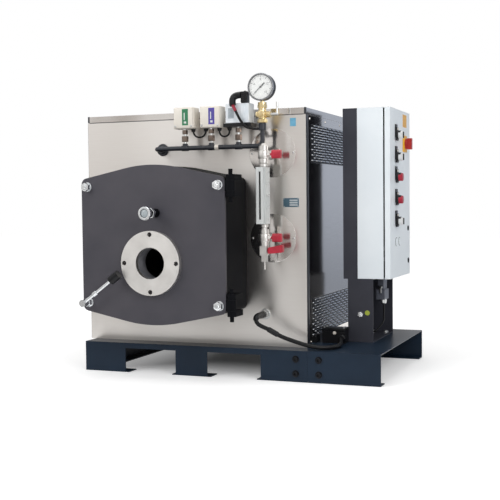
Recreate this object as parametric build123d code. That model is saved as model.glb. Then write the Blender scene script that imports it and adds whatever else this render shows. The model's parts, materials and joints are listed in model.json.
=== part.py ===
from build123d import *
import os
from math import cos, pi, radians, sin, tan

# Steam boiler on a steel base, with its control cabinet on a stand beside it.
# Millimetres. Building axes: X to the right along the front, Y to the back, Z up from the floor,
# starting at the front left corner of the base. The finished pieces are moved so that the origin
# is under the middle of the whole object.

# Base of folded sheet, with two pockets for lifting forks
base_length = 964
base_rear_margin = 15
base_height = 120
base_sheet = 4
foot_width = 60
pocket_width = 226
pocket_height = 98
first_pocket_x = 185
second_pocket_x = 549
foot_lip = 16

# Platform bolted to the right end of the base
platform_length = 286
platform_depth = 745
seam_gap = 0.4

# Stainless casing
casing_overhang = 20
casing_width = 958
casing_front_y = 85
casing_height = 930
casing_sheet = 2
cover_lip = 25
cover_gap = 1.5
cover_ledge = 14
louvre_height = 150
louvre_front_margin = 62
louvre_rear_margin = 78
lower_louvre_rise = 36
upper_louvre_drop = 60
louvre_lap = 10

# Furnace door, arched at its top and bottom
door_centre_x = 383
door_centre_z = 525.5
door_width = 614
door_height = 620
door_arch_slope = 0.21
door_apex_radius = 550
door_corner_radius = 25
least_corner_radius = 8
door_plate = 12
door_gap = 0.5
front_box_length = 212
front_box_wall = 10
front_box_inset = 2
panel_clearance = 0.5
lining_depth = 50
lining_clearance = 14

# Burner opening in the door
burner_drop = 69.5
flange_diameter = 250
flange_thickness = 20
flange_bore = 122
flange_pitch_circle = 222
flange_hole = 18
flange_hole_count = 4
throat_clearance = 2

# Vessel behind the front box: shell, tube plates, blind furnace and smoke tubes
tube_plate_thickness = 16
vessel_wall = 10
furnace_diameter = 330
furnace_wall = 10
furnace_length = 650
furnace_turn_space = 110
smoke_box_depth = 103.7
furnace_end = 12
smoke_tube_bore = 46
smoke_tube_wall = 3
smoke_tube_pitch = 82
smoke_row_pitch = 67
smoke_row_angles = (80, 32)
furnace_tube_gap = 44
shell_clearance = 10
saddle_width = 300
saddle_thickness = 40
saddle_inset = 150
seat_clearance = 0.3

# Fittings on the door
nut_inset_x = 26
nut_inset_z = 29.7
nut_across_flats = 30
nut_height = 22
sight_offset_x = 19
sight_offset_z = 124
sight_length = 96
sight_tube_radius = 17
sight_rim_radius = 23
sight_rim_length = 14
sight_recess_radius = 16
sight_recess_depth = 6
lever_length = 152
lever_angle = 36.5
lever_radius = 6.5
lever_collar_radius = 10
lever_collar_length = 18
lever_collar_start = 57
knob_radius = 17
knob_length = 45
knob_flange_gap = 5
lever_boss_radius = 14
lever_boss_end = 5

# Door hinges
hinge_offset_x = 22
hinge_inset_z = 32.7
hinge_pin_radius = 8
hinge_running_clearance = 0.05
hinge_eye_radius = 17
door_lug_height = 40
box_lug_height = 22
hinge_lug_gap = 0.4
hinge_pin_overhang = 20
box_lug_reach = 70

# Flue collar on the rear panel
flue_radius = 90
flue_wall = 3
flue_length = 80
flue_height = 720
flue_flange_radius = 115
flue_flange_thickness = 4

# Pressure manifold in front of the casing
manifold_y = 14
manifold_z = 903
manifold_radius = 9
manifold_left_x = 327
manifold_bend = 24
rosette_radius = 24
rosette_thickness = 6
siphon_top_z = 992

# Pressure switches on the manifold
switch_x = (460, 573)
switch_width = 86
switch_height = 84
switch_depth = 58
switch_bottom_z = 979
switch_front_y = 0
switch_edge = 4
limiter_x = 688
limiter_width = 98
limiter_height = 76
limiter_base_height = 14
limiter_base_width = 116
stem_radius = 6
stem_nut_radius = 11
stem_nut_height = 20
stem_nut_rise = 26
limiter_plug_width = 28
limiter_plug_height = 44
limiter_plug_depth = 30
limiter_plug_offset = 30
switch_lead_radius = 5
limiter_lead_route = (
    (676, 4, 1100), (671, -14, 1070), (690, -15, 1034), (708, -15, 1000), (728, -13, 975), (752, 14, 969),
)
loop_radius = 3.5
loop_inset = 14
loop_drop = 34

# Pressure gauge and its cock
gauge_x = 787
gauge_z = 1126
gauge_radius = 51.5
gauge_depth = 34
gauge_rim = 5
gauge_back_offset = 13
dial_recess = 6
dial_thickness = 2
cock_radius = 15
cock_nut_radius = 17
cock_nut_height = 12
cock_plug_radius = 12
cock_plug_length = 34
cock_plug_z = 1022
gauge_stem_radius = 8
cock_lever_length = 46
cock_lever_radius = 4
cock_lever_reach = 30
stem_clearance = 0.05
stem_seat = 14
handle_stem_radius = 5

# Level gauge on the right of the front panel
level_x = 796
level_y = -2
upper_cock_z = 869
lower_cock_z = 551
cock_body_width = 36
cock_body_height = 64
cock_waist_radius = 13
cock_collar_height = 17
cock_boss_radius = 11
reflex_bottom_z = 604
reflex_height = 216
reflex_width = 40
reflex_depth = 46
reflex_offset = 11
reflex_cover_width = 28
reflex_cover_depth = 11
reflex_slot_width = 8
reflex_slot_margin = 17
reflex_slot_depth = 10
union_radius = 12
level_pipe_radius = 13
knob_grip_length = 36
knob_grip_height = 33
knob_grip_depth = 20
knob_grip_gap = 17
drain_cock_height = 36
drain_cock_width = 28
drain_axis_drop = 18
drain_nut_height = 24
drain_nut_width = 26
drain_nozzle_radius = 5
drain_nozzle_length = 30
drain_lever_length = 60
drain_lever_height = 24
drain_lever_depth = 20
drain_lever_gap = 3
drain_lever_rise = 12

# Feed hose from the front panel to the terminal box on the platform
hose_radius = 8
fitting_x = 765
fitting_z = 247
fitting_radius = 15
fitting_length = 26
hose_tail_length = 10
terminal_x = 950
terminal_y = 240
terminal_width = 95
terminal_depth = 52
terminal_height = 60
hose_end_x = 1036
hose_end_z = 142
hose_exit_run = 25
hose_entry_run = 33
hose_route = (
    (761, 1, 247), (761, -13, 234), (771, -16, 219), (788, -11, 209), (810, -4, 199), (835, 4, 183),
    (867, 11, 167), (912, 17, 152), (958, 20, 139), (1001, 26.5, 131.5), (1036.5, 52, 129.5),
    (1056, 90.5, 129.5), (1056, 134, 130.5), (1049, 172, 135),
)

# Cabinet and its stand on the platform
stand_x = 1023
stand_y = 300
stand_width = 340
stand_depth = 122
pedestal_height = 255
column_depth = 59
pedestal_setback = 18
column_width = 262
stand_sheet = 3
cabinet_depth = 106
cabinet_width = 356
cabinet_height = 682
cabinet_sheet = 2
cabinet_sill_gap = 1
cabinet_door_gap = 6
cabinet_door_depth = 22
cabinet_door_sheet = 2
door_hinge_inset = 6
door_hinge_drop = 100
door_pin_radius = 2.5
door_pin_length = 56
door_knuckle_radius = 5
door_knuckle_height = 24
knuckle_gap = 0.3
hinge_arm_reach = 20
hinge_arm_clearance = 11
hinge_foot_length = 20
hinge_foot_setback = 1
control_y = 100
control_z = (580, 492, 411, 320, 233)
control_radius = 14
control_length = 22
control_holder_width = 30
control_holder_height = 54
control_holder_thickness = 4
isolator_y = 257
isolator_z = 548
isolator_shaft_radius = 4
isolator_grip_width = 20
isolator_grip_length = 46
isolator_grip_depth = 18
isolator_hub_radius = 19
isolator_hub_depth = 8
isolator_stand_off = 6
connector_y = 195.5
connector_width = 36
connector_depth = 71
connector_height = 42
connector_overhang = 8
connector_neck_inset = 6
connector_neck_height = 52
connector_gland_inset = 12
connector_gland_radius = 8
connector_gland_length = 20
lead_radius = 3.5
lead_bend_rise = 60
lead_floor_rise = 22
lead_side_step = 40
lead_back_step = 25
lead_bends = (30, 20)

# Places worked out from the sizes
casing_left = -casing_overhang
casing_right = casing_left + casing_width
casing_top = base_height + casing_height
platform_right = base_length + platform_length
deck_under = base_height - base_sheet
cover_seam_z = casing_top - cover_lip
panel_top = cover_seam_z - cover_gap
front_box_back = casing_front_y + casing_sheet + seat_clearance
front_box_front = front_box_back - front_box_length
door_back = front_box_front - door_gap
door_front = door_back - door_plate
flange_front = door_front - flange_thickness
burner_z = door_centre_z - burner_drop
sight_x = door_centre_x + sight_offset_x
sight_z = door_centre_z + sight_offset_z
sight_front = door_front - sight_length
vessel_front = front_box_back + tube_plate_thickness
vessel_back = vessel_front + furnace_length + furnace_turn_space
casing_back_y = vessel_back + tube_plate_thickness + smoke_box_depth + casing_sheet
base_depth = casing_back_y + base_rear_margin
louvre_length = casing_back_y - casing_front_y - louvre_front_margin - louvre_rear_margin
door_rise = door_apex_radius * door_arch_slope ** 2 / 2
door_shoulder = door_height / 2 + door_rise - door_arch_slope * door_width / 2
door_right = door_centre_x + door_width / 2
hinge_x = door_right + hinge_offset_x
hinge_offset_z = door_shoulder - hinge_inset_z
hinge_y = (door_front + door_back) / 2
box_right = door_right - front_box_inset
flue_back = casing_back_y + flue_length
stand_top = base_height + pedestal_height
cabinet_x = stand_x + column_depth
cabinet_y = stand_y
cabinet_z = stand_top + cabinet_sill_gap
cabinet_front = cabinet_x + cabinet_depth
cabinet_top = cabinet_z + cabinet_height
cabinet_door_back = cabinet_front + cabinet_door_gap
cabinet_door_front = cabinet_door_back + cabinet_door_depth
cabinet_hinge_x = cabinet_door_back + door_hinge_inset
cabinet_hinge_y = cabinet_y + door_hinge_inset + cabinet_door_sheet
centre_x = (casing_left + platform_right) / 2
centre_y = (sight_front + flue_back) / 2


def block(x_low, x_high, y_low, y_high, z_low, z_high):
    """Box between two corners."""
    middle = Pos((x_low + x_high) / 2, (y_low + y_high) / 2, (z_low + z_high) / 2)
    return middle * Box(x_high - x_low, y_high - y_low, z_high - z_low)


def bar(radius, start, end):
    """Round bar from one point to another."""
    run = Vector(*end) - Vector(*start)
    base = Plane(origin=start, z_dir=run)
    return base * Cylinder(radius, run.length, align=(Align.CENTER, Align.CENTER, Align.MIN))


def bar_x(radius, y, z, x_low, x_high):
    """Round bar along X."""
    return bar(radius, (x_low, y, z), (x_high, y, z))


def bar_y(radius, x, z, y_low, y_high):
    """Round bar along Y."""
    return bar(radius, (x, y_low, z), (x, y_high, z))


def bar_z(radius, x, y, z_low, z_high):
    """Round bar along Z."""
    return bar(radius, (x, y, z_low), (x, y, z_high))


def hexagon_bar(across_flats, start, end):
    """Six-sided bar from one point to another, for nuts."""
    run = Vector(*end) - Vector(*start)
    section = Plane(origin=start, z_dir=run) * RegularPolygon(across_flats / 2, 6, major_radius=False)
    return extrude(section, amount=run.length, dir=run)


def arch_outline(grow):
    """The door's outline, grown or shrunk all round, on the plane of the front at y = 0."""
    half_width = door_width / 2 + grow
    slope = door_arch_slope
    sharp_top = door_height / 2 + door_rise + grow * (1 + slope * slope) ** 0.5
    shoulder = sharp_top - slope * half_width
    corners = [
        (-half_width, -shoulder), (0, -sharp_top), (half_width, -shoulder),
        (half_width, shoulder), (0, sharp_top), (-half_width, shoulder),
    ]
    face = Plane.XZ.offset(0) * make_face(Polyline(*corners, close=True))
    face = Pos(door_centre_x, 0, door_centre_z) * face
    apexes = [v for v in face.vertices() if abs(v.X - door_centre_x) < half_width / 2]
    face = fillet(apexes, door_apex_radius + grow)
    sides = [v for v in face.vertices() if abs(v.X - door_centre_x) > half_width - 0.01]
    return fillet(sides, max(door_corner_radius + grow, least_corner_radius))


def arch_prism(grow, y_low, y_high):
    """Solid with the door's outline between two depths."""
    return Pos(0, y_high, 0) * extrude(arch_outline(grow), amount=y_high - y_low, dir=(0, -1, 0))


def tube_path(points, radii, radius):
    """Round tube along straight runs joined by tangent arcs."""
    path = FilletPolyline(*points, radius=radii)
    start = Plane(origin=path @ 0, z_dir=path % 0)
    return sweep(start * Circle(radius), path=path)


def bend_radii(points):
    """Radius of the arc at each inner point of a route, as large as its shorter run allows."""
    vectors = [Vector(*point) for point in points]
    radii = []
    for before, here, after in zip(vectors, vectors[1:], vectors[2:]):
        turn = radians((here - before).get_angle(after - here))
        shorter = min((here - before).length, (after - here).length)
        radii.append(0.45 * shorter / tan(turn / 2))
    return radii


def save(name, *solids):
    """Writes one node, moved so that the origin is under the middle of the object."""
    moved = [Pos(-centre_x, -centre_y, 0) * solid for solid in solids]
    whole = moved[0] if len(moved) == 1 else Compound(children=moved)
    export_step(whole, "parts/" + name + ".step")


def base_cross_rail(y_low, foot_side):
    """Front or rear rail: a folded sheet with two fork pockets and turned-in feet."""
    rail = block(0, base_length, y_low, y_low + base_sheet, 0, deck_under)
    inner = y_low + base_sheet if foot_side > 0 else y_low
    foot_end = inner + foot_side * foot_width
    rail += block(0, base_length, min(inner, foot_end), max(inner, foot_end), 0, base_sheet)
    for pocket_x in (first_pocket_x, second_pocket_x):
        pocket_end = pocket_x + pocket_width
        reach = foot_width + 2 * base_sheet
        rail -= block(pocket_x, pocket_end, y_low - reach, y_low + reach, base_sheet, pocket_height)
        rail -= block(
            pocket_x + foot_lip, pocket_end - foot_lip,
            y_low - reach, y_low + reach,
            -1, base_sheet,
        )
    return rail


def base_side_rail(x_low, foot_side):
    """End rail between the front and rear rails."""
    front = base_sheet + foot_width + seam_gap
    back = base_depth - front
    rail = block(
        x_low, x_low + base_sheet,
        base_sheet, base_depth - base_sheet,
        base_sheet + seam_gap, deck_under,
    )
    inner = x_low + base_sheet if foot_side > 0 else x_low
    foot_end = inner + foot_side * foot_width
    low, high = min(inner, foot_end), max(inner, foot_end)
    foot = block(min(low, x_low), max(high, x_low + base_sheet), front, back, 0, base_sheet + seam_gap)
    return rail + foot


def base_nodes():
    save(
        "base_cross_rails",
        base_cross_rail(0, 1),
        base_cross_rail(base_depth - base_sheet, -1),
    )
    save("base_side_rails", base_side_rail(0, 1), base_side_rail(base_length - base_sheet, -1))
    save(
        "base_decks",
        block(0, base_length, 0, base_depth, deck_under, base_height),
        block(base_length + seam_gap, platform_right, 0, platform_depth, deck_under, base_height),
    )


def platform_nodes():
    """Front and rear skirt under the platform deck, each with a turned-in foot; the right end is open."""
    left = base_length + seam_gap
    right = platform_right
    front = block(left, right, 0, base_sheet, 0, deck_under)
    front += block(left, right, 0, foot_width, 0, base_sheet)
    rear_y = platform_depth - base_sheet
    rear = block(left, right, rear_y, platform_depth, 0, deck_under)
    rear += block(left, right, platform_depth - foot_width, platform_depth, 0, base_sheet)
    save("platform_skirts", front, rear)


def louvre_box(x_low, x_high, z_low, grow):
    """One louvre opening, or the plate that covers it."""
    y_low = casing_front_y + louvre_front_margin
    return block(
        x_low, x_high,
        y_low - grow, y_low + louvre_length + grow,
        z_low - grow, z_low + louvre_height + grow,
    )


def louvre_levels():
    return (base_height + lower_louvre_rise, casing_top - upper_louvre_drop - louvre_height)


def side_panel(x_low):
    """Side sheet with two long louvre openings."""
    front = casing_front_y + casing_sheet
    back = casing_back_y - casing_sheet
    panel = block(x_low, x_low + casing_sheet, front, back, base_height, panel_top)
    for z_low in louvre_levels():
        panel -= louvre_box(x_low - 1, x_low + casing_sheet + 1, z_low, 0)
    return panel


def casing_nodes():
    front = block(
        casing_left, casing_right,
        casing_front_y, casing_front_y + casing_sheet,
        base_height, panel_top,
    )
    front -= arch_prism(
        panel_clearance - front_box_inset, casing_front_y - 5, casing_front_y + casing_sheet + 5,
    )
    save("casing_front_panel", front)

    save("casing_side_panels", side_panel(casing_left), side_panel(casing_right - casing_sheet))

    rear = block(
        casing_left, casing_right,
        casing_back_y - casing_sheet, casing_back_y,
        base_height, panel_top,
    )
    flue_start = (door_centre_x, casing_back_y - 2 * casing_sheet, flue_height)
    flue_end = (door_centre_x, casing_back_y + casing_sheet, flue_height)
    rear -= bar(flue_radius - flue_wall, flue_start, flue_end)
    save("casing_rear_panel", rear)

    cover = block(casing_left, casing_right, casing_front_y, casing_back_y, cover_seam_z, casing_top)
    cover -= block(
        casing_left + casing_sheet, casing_right - casing_sheet, casing_front_y + casing_sheet,
        casing_back_y - casing_sheet, panel_top - 1, casing_top - casing_sheet,
    )
    ledge = casing_sheet + louvre_lap
    inner = block(
        casing_left + casing_sheet, casing_right - casing_sheet, casing_front_y + casing_sheet,
        casing_back_y - casing_sheet, panel_top - cover_ledge, casing_top - casing_sheet,
    )
    inner -= block(
        casing_left + ledge, casing_right - ledge, casing_front_y + ledge,
        casing_back_y - ledge, panel_top - cover_ledge - 1, casing_top,
    )
    side_slots = block(
        casing_left, casing_left + casing_sheet, casing_front_y, casing_back_y, base_height, panel_top
    )
    save("casing_top_cover", cover + inner - side_slots)

    plates = []
    for z_low in louvre_levels():
        right = casing_right - casing_sheet
        plates.append(louvre_box(right - casing_sheet, right, z_low, louvre_lap))
        left = casing_left + casing_sheet
        plates.append(louvre_box(left, left + casing_sheet, z_low, louvre_lap))
    save("side_louvres", *plates)

    axis_y = (casing_back_y, casing_back_y + flue_flange_thickness, flue_back)
    collar = bar_y(flue_radius, door_centre_x, flue_height, axis_y[0], axis_y[2])
    collar += bar_y(flue_flange_radius, door_centre_x, flue_height, axis_y[0], axis_y[1])
    collar -= bar_y(flue_radius - flue_wall, door_centre_x, flue_height, axis_y[0] - 1, axis_y[2] + 1)
    save("flue_collar", collar)


def smoke_tube_centres():
    """Tube positions on arcs over the furnace, as far as the shell leaves room, in the front plane."""
    tube_radius = smoke_tube_bore / 2 + smoke_tube_wall
    margin = front_box_inset + vessel_wall + tube_radius + shell_clearance
    arch_margin = margin * (1 + door_arch_slope ** 2) ** 0.5
    first_radius = furnace_diameter / 2 + furnace_tube_gap + tube_radius
    centres = []
    for row, widest_angle in enumerate(smoke_row_angles):
        row_radius = first_radius + row * smoke_row_pitch
        step = smoke_tube_pitch / row_radius
        count = int(radians(widest_angle) / step)
        for index in range(-count, count + 1):
            x = row_radius * sin(index * step)
            z = burner_z + row_radius * cos(index * step)
            roof = door_height / 2 + min(-margin, door_rise - arch_margin - door_arch_slope * abs(x))
            if abs(x) <= door_width / 2 - margin and z <= door_centre_z + roof:
                centres.append((door_centre_x + x, z))
    return centres


def vessel_nodes():
    outer = -front_box_inset
    box = arch_prism(outer, front_box_front, front_box_back)
    box -= arch_prism(outer - front_box_wall, front_box_front - 1, front_box_back + 1)
    save("front_box", box)

    furnace_bore = furnace_diameter / 2 - furnace_wall
    front_plate = arch_prism(outer, front_box_back, vessel_front)
    front_plate -= bar_y(furnace_bore, door_centre_x, burner_z, front_box_back - 1, vessel_front + 1)
    rear_plate = arch_prism(outer, vessel_back, vessel_back + tube_plate_thickness)
    tubes = []
    for x, z in smoke_tube_centres():
        hole = bar_y(
            smoke_tube_bore / 2, x, z, front_box_back - 1, vessel_back + 2 * tube_plate_thickness,
        )
        front_plate -= hole
        rear_plate -= hole
        tube = bar_y(smoke_tube_bore / 2 + smoke_tube_wall, x, z, vessel_front, vessel_back)
        tubes.append(tube - hole)
    save("tube_plates", front_plate, rear_plate)
    save("smoke_tubes", *tubes)

    shell = arch_prism(outer, vessel_front, vessel_back)
    shell -= arch_prism(outer - vessel_wall, vessel_front - 1, vessel_back + 1)
    save("vessel_shell", shell)

    furnace_back = vessel_front + furnace_length
    furnace = bar_y(furnace_diameter / 2, door_centre_x, burner_z, vessel_front, furnace_back)
    furnace -= bar_y(
        furnace_bore, door_centre_x, burner_z, vessel_front - 1, furnace_back - furnace_end,
    )
    save("furnace_tube", furnace)

    saddles = []
    vessel_space = arch_prism(outer + seat_clearance, vessel_front - 1, vessel_back + 1)
    front_saddle_y = vessel_front + saddle_inset
    rear_saddle_y = vessel_back - saddle_inset - saddle_thickness
    for y_low in (front_saddle_y, rear_saddle_y):
        half = saddle_width / 2
        saddle = block(
            door_centre_x - half, door_centre_x + half,
            y_low, y_low + saddle_thickness,
            base_height, door_centre_z,
        )
        saddles.append(saddle - vessel_space)
    save("vessel_saddles", *[saddle.solids().sort_by(Axis.Z)[0] for saddle in saddles])


def nut_centres():
    """Corners of the door where it is screwed down, lower left first."""
    half_x = door_width / 2 - nut_inset_x
    half_z = door_shoulder - nut_inset_z
    signs = ((-1, -1), (1, -1), (1, 1), (-1, 1))
    return [(door_centre_x + sx * half_x, door_centre_z + sz * half_z) for sx, sz in signs]


def door_nodes():
    throat_radius = flange_bore / 2 + throat_clearance
    lining_back = door_back + lining_depth
    throat = bar_y(throat_radius, door_centre_x, burner_z, door_front - 1, lining_back + 1)
    save("door_plate", arch_prism(0, door_front, door_back) - throat)
    lining_inset = front_box_inset + front_box_wall + lining_clearance
    save("door_lining", arch_prism(-lining_inset, door_back, lining_back) - throat)

    flange = bar_y(flange_diameter / 2, door_centre_x, burner_z, door_front, flange_front)
    flange -= bar_y(flange_bore / 2, door_centre_x, burner_z, door_front + 1, flange_front - 1)
    for index in range(flange_hole_count):
        angle = 2 * pi * index / flange_hole_count
        x = door_centre_x + flange_pitch_circle / 2 * cos(angle)
        z = burner_z + flange_pitch_circle / 2 * sin(angle)
        flange -= bar_y(flange_hole / 2, x, z, door_front + 1, flange_front - 1)
    save("burner_flange", flange)

    rim_back = sight_front + sight_rim_length
    sight = bar_y(sight_tube_radius, sight_x, sight_z, door_front, rim_back)
    sight += bar_y(sight_rim_radius, sight_x, sight_z, rim_back, sight_front)
    sight -= bar_y(
        sight_recess_radius, sight_x, sight_z, sight_front + sight_recess_depth, sight_front - 1,
    )
    save("sight_tube", sight)

    nuts = []
    for x, z in nut_centres():
        nuts.append(hexagon_bar(nut_across_flats, (x, door_front, z), (x, door_front - nut_height, z)))
    boss_back = door_front - nut_height
    lever_y = min(boss_back, flange_front) - knob_flange_gap - knob_radius
    boss_front = lever_y - lever_radius - lever_boss_end
    along = (cos(radians(lever_angle)), sin(radians(lever_angle)))
    nut_x, nut_z = nut_centres()[0]

    def on_lever(distance):
        return (nut_x + along[0] * distance, lever_y, nut_z + along[1] * distance)

    nuts[0] += bar_y(lever_boss_radius, nut_x, nut_z, boss_back, boss_front)
    nuts[0] -= bar(lever_radius + seat_clearance, on_lever(0), on_lever(nut_across_flats))
    save("door_nuts", *nuts)
    lever = bar(lever_radius, on_lever(0), on_lever(lever_length))
    collar_end = lever_collar_start + lever_collar_length
    lever += bar(lever_collar_radius, on_lever(lever_collar_start), on_lever(collar_end))
    save("door_lever", lever)
    save("lever_knob", bar(knob_radius, on_lever(lever_length), on_lever(lever_length + knob_length)))


def hinge_nodes():
    lugs = []
    brackets = []
    hole_radius = hinge_pin_radius + hinge_running_clearance
    for centre_z in (door_centre_z - hinge_offset_z, door_centre_z + hinge_offset_z):
        low = centre_z - door_lug_height / 2
        high = centre_z + door_lug_height / 2
        lug = bar_z(hinge_eye_radius, hinge_x, hinge_y, low, high)
        lug += block(door_right, hinge_x, door_front, door_back, low, high)
        lug -= bar_z(hole_radius, hinge_x, hinge_y, low - 1, high + 1)
        lugs.append(lug)
        pin_reach = door_lug_height / 2 + hinge_lug_gap + box_lug_height + hinge_pin_overhang
        bracket = bar_z(hinge_pin_radius, hinge_x, hinge_y, centre_z - pin_reach, centre_z + pin_reach)
        for z_low in (low - hinge_lug_gap - box_lug_height, high + hinge_lug_gap):
            z_high = z_low + box_lug_height
            bracket += bar_z(hinge_eye_radius, hinge_x, hinge_y, z_low, z_high)
            arm_front = hinge_y
            arm = block(
                box_right, hinge_x + hinge_eye_radius,
                arm_front, arm_front + box_lug_reach,
                z_low, z_high,
            )
            arm -= block(
                box_right - 1, hinge_x - hinge_eye_radius,
                arm_front - 1, front_box_front + hinge_eye_radius / 2,
                z_low - 1, z_high + 1,
            )
            bracket += arm
        brackets.append(bracket)
    save("door_hinge_lugs", *lugs)
    save("hinge_brackets", *brackets)


def manifold_nodes():
    points = [
        (manifold_left_x, casing_front_y - rosette_thickness, manifold_z),
        (manifold_left_x, manifold_y, manifold_z),
        (gauge_x, manifold_y, manifold_z),
        (gauge_x, manifold_y, siphon_top_z),
    ]
    pipe = tube_path(points, manifold_bend, manifold_radius)
    rosette_front = (manifold_left_x, casing_front_y - rosette_thickness, manifold_z)
    pipe += bar(rosette_radius, rosette_front, (manifold_left_x, casing_front_y, manifold_z))
    save("manifold_pipe", pipe)


def switch_box(centre_x_value, width, bottom_z, height):
    """Rounded plastic housing of a pressure switch."""
    half = width / 2
    box = block(
        centre_x_value - half, centre_x_value + half, switch_front_y, switch_front_y + switch_depth,
        bottom_z, bottom_z + height,
    )
    return fillet(box.edges(), switch_edge)


def switch_stem(centre_x_value, top_z):
    """Threaded stem with its nut, standing on the manifold."""
    foot = manifold_z + manifold_radius - 1
    stem = bar_z(stem_radius, centre_x_value, manifold_y, foot, top_z)
    nut_low = manifold_z + stem_nut_rise
    stem += bar_z(stem_nut_radius, centre_x_value, manifold_y, nut_low, nut_low + stem_nut_height)
    pipe = bar_x(manifold_radius, manifold_y, manifold_z, centre_x_value - 50, centre_x_value + 50)
    return stem - pipe


def switch_nodes():
    boxes = [switch_box(x, switch_width, switch_bottom_z, switch_height) for x in switch_x]
    save("pressure_switches", *boxes)
    limiter_low = switch_bottom_z + limiter_base_height
    half = limiter_base_width / 2
    base = block(
        limiter_x - half, limiter_x + half,
        switch_front_y, switch_front_y + switch_depth,
        switch_bottom_z, limiter_low,
    )
    save("limiter_base", base)
    save("limiter_box", switch_box(limiter_x, limiter_width, limiter_low, limiter_height))
    stems = [switch_stem(x, switch_bottom_z) for x in (*switch_x, limiter_x)]
    save("switch_stems", *stems)

    plug_x = limiter_x + limiter_plug_offset
    plug_low = limiter_low + limiter_height
    plug_y = switch_front_y - switch_lead_radius
    plug = block(
        plug_x - limiter_plug_width / 2, plug_x + limiter_plug_width / 2,
        plug_y, plug_y + limiter_plug_depth,
        plug_low, plug_low + limiter_plug_height,
    )
    save("limiter_plug", fillet(plug.edges(), switch_edge))

    first, last = limiter_lead_route[0], limiter_lead_route[-1]
    points = [
        (plug_x - limiter_plug_width / 2, first[1], first[2]), *limiter_lead_route,
        (gauge_x - manifold_radius, manifold_y, last[2]),
    ]
    save("limiter_lead", tube_path(points, bend_radii(points), switch_lead_radius))

    loops = []
    loop_y = switch_front_y + switch_depth / 2
    ends = [
        (switch_x[0] + switch_width / 2, switch_x[1] - switch_width / 2),
        (switch_x[1] + switch_width / 2, limiter_x - limiter_base_width / 2),
    ]
    for left_edge, right_edge in ends:
        left, right = left_edge - loop_inset, right_edge + loop_inset
        points = [
            (left, loop_y, switch_bottom_z), (left, loop_y, switch_bottom_z - loop_drop),
            (right, loop_y, switch_bottom_z - loop_drop), (right, loop_y, switch_bottom_z),
        ]
        bend = min((right - left) * 0.48, loop_drop * 0.9)
        loops.append(tube_path(points, bend, loop_radius))
    save("switch_cable_loops", *loops)


def gauge_nodes():
    back = manifold_y + gauge_back_offset
    front = back - gauge_depth
    case = bar_y(gauge_radius, gauge_x, gauge_z, back, front)
    case -= bar_y(gauge_radius - gauge_rim, gauge_x, gauge_z, front + dial_recess, front - 1)
    save("gauge_case", case)
    dial_back = front + dial_recess
    dial_radius = gauge_radius - gauge_rim - seat_clearance
    save(
        "gauge_dial",
        bar_y(dial_radius, gauge_x, gauge_z, dial_back, dial_back - dial_thickness),
    )
    axis = (gauge_x, manifold_y)
    stem_top = gauge_z - gauge_radius
    nut_low = stem_top - cock_nut_height - stem_radius
    cock = bar(cock_radius, (*axis, siphon_top_z), (*axis, nut_low))
    cock += bar(cock_nut_radius, (*axis, siphon_top_z), (*axis, siphon_top_z + cock_nut_height))
    cock += bar(cock_nut_radius, (*axis, nut_low), (*axis, nut_low + cock_nut_height))
    cock += bar(gauge_stem_radius, (*axis, nut_low), (*axis, gauge_z))
    cock -= bar_y(gauge_radius + seat_clearance, gauge_x, gauge_z, back + 50, front - 50)
    plug_end = gauge_x + cock_plug_length
    cock += bar_x(cock_plug_radius, manifold_y, cock_plug_z, gauge_x - cock_plug_length * 0.7, plug_end)
    cock -= bar_x(
        handle_stem_radius + stem_clearance, manifold_y, cock_plug_z, plug_end - stem_seat,
        plug_end + 1,
    )
    save("gauge_cock", cock)
    lever_x = plug_end + cock_lever_reach
    lever = bar_x(
        handle_stem_radius, manifold_y, cock_plug_z, plug_end - stem_seat + seat_clearance,
        lever_x,
    )
    lever_centre = lever_x - cock_lever_radius
    lever += bar_z(
        cock_lever_radius, lever_centre, manifold_y, cock_plug_z, cock_plug_z + cock_lever_length,
    )
    save("gauge_cock_lever", lever)


def level_cock(centre_z, union_low, union_high):
    """Turned cock body with collars, a pipe back to the casing, a union and a bore for its handle."""
    collar_radius = cock_body_width / 2
    low = centre_z - cock_body_height / 2
    high = low + cock_body_height
    body = bar_z(cock_waist_radius, level_x, level_y, low, high)
    body += bar_z(collar_radius, level_x, level_y, low, low + cock_collar_height)
    body += bar_z(collar_radius, level_x, level_y, high - cock_collar_height, high)
    right = level_x + collar_radius
    body += bar_x(cock_boss_radius, level_y, centre_z, level_x, right)
    body += bar_y(level_pipe_radius, level_x, centre_z, level_y, casing_front_y)
    body += bar_z(union_radius, level_x, level_y, union_low, union_high)
    body -= bar_x(handle_stem_radius + stem_clearance, level_y, centre_z, right - stem_seat, right + 1)
    return body


def cock_knob(centre_z):
    """Red grip on a short stem, turning about the X axis."""
    right = level_x + cock_body_width / 2
    grip_low = right + knob_grip_gap
    knob = bar_x(
        handle_stem_radius, level_y, centre_z, right - stem_seat + seat_clearance, grip_low + 1,
    )
    grip = block(
        grip_low, grip_low + knob_grip_length,
        level_y - knob_grip_depth / 2, level_y + knob_grip_depth / 2,
        centre_z - knob_grip_height / 2, centre_z + knob_grip_height / 2,
    )
    grip = fillet(grip.edges().filter_by(Axis.X), knob_grip_depth * 0.45)
    return knob + grip


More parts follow.
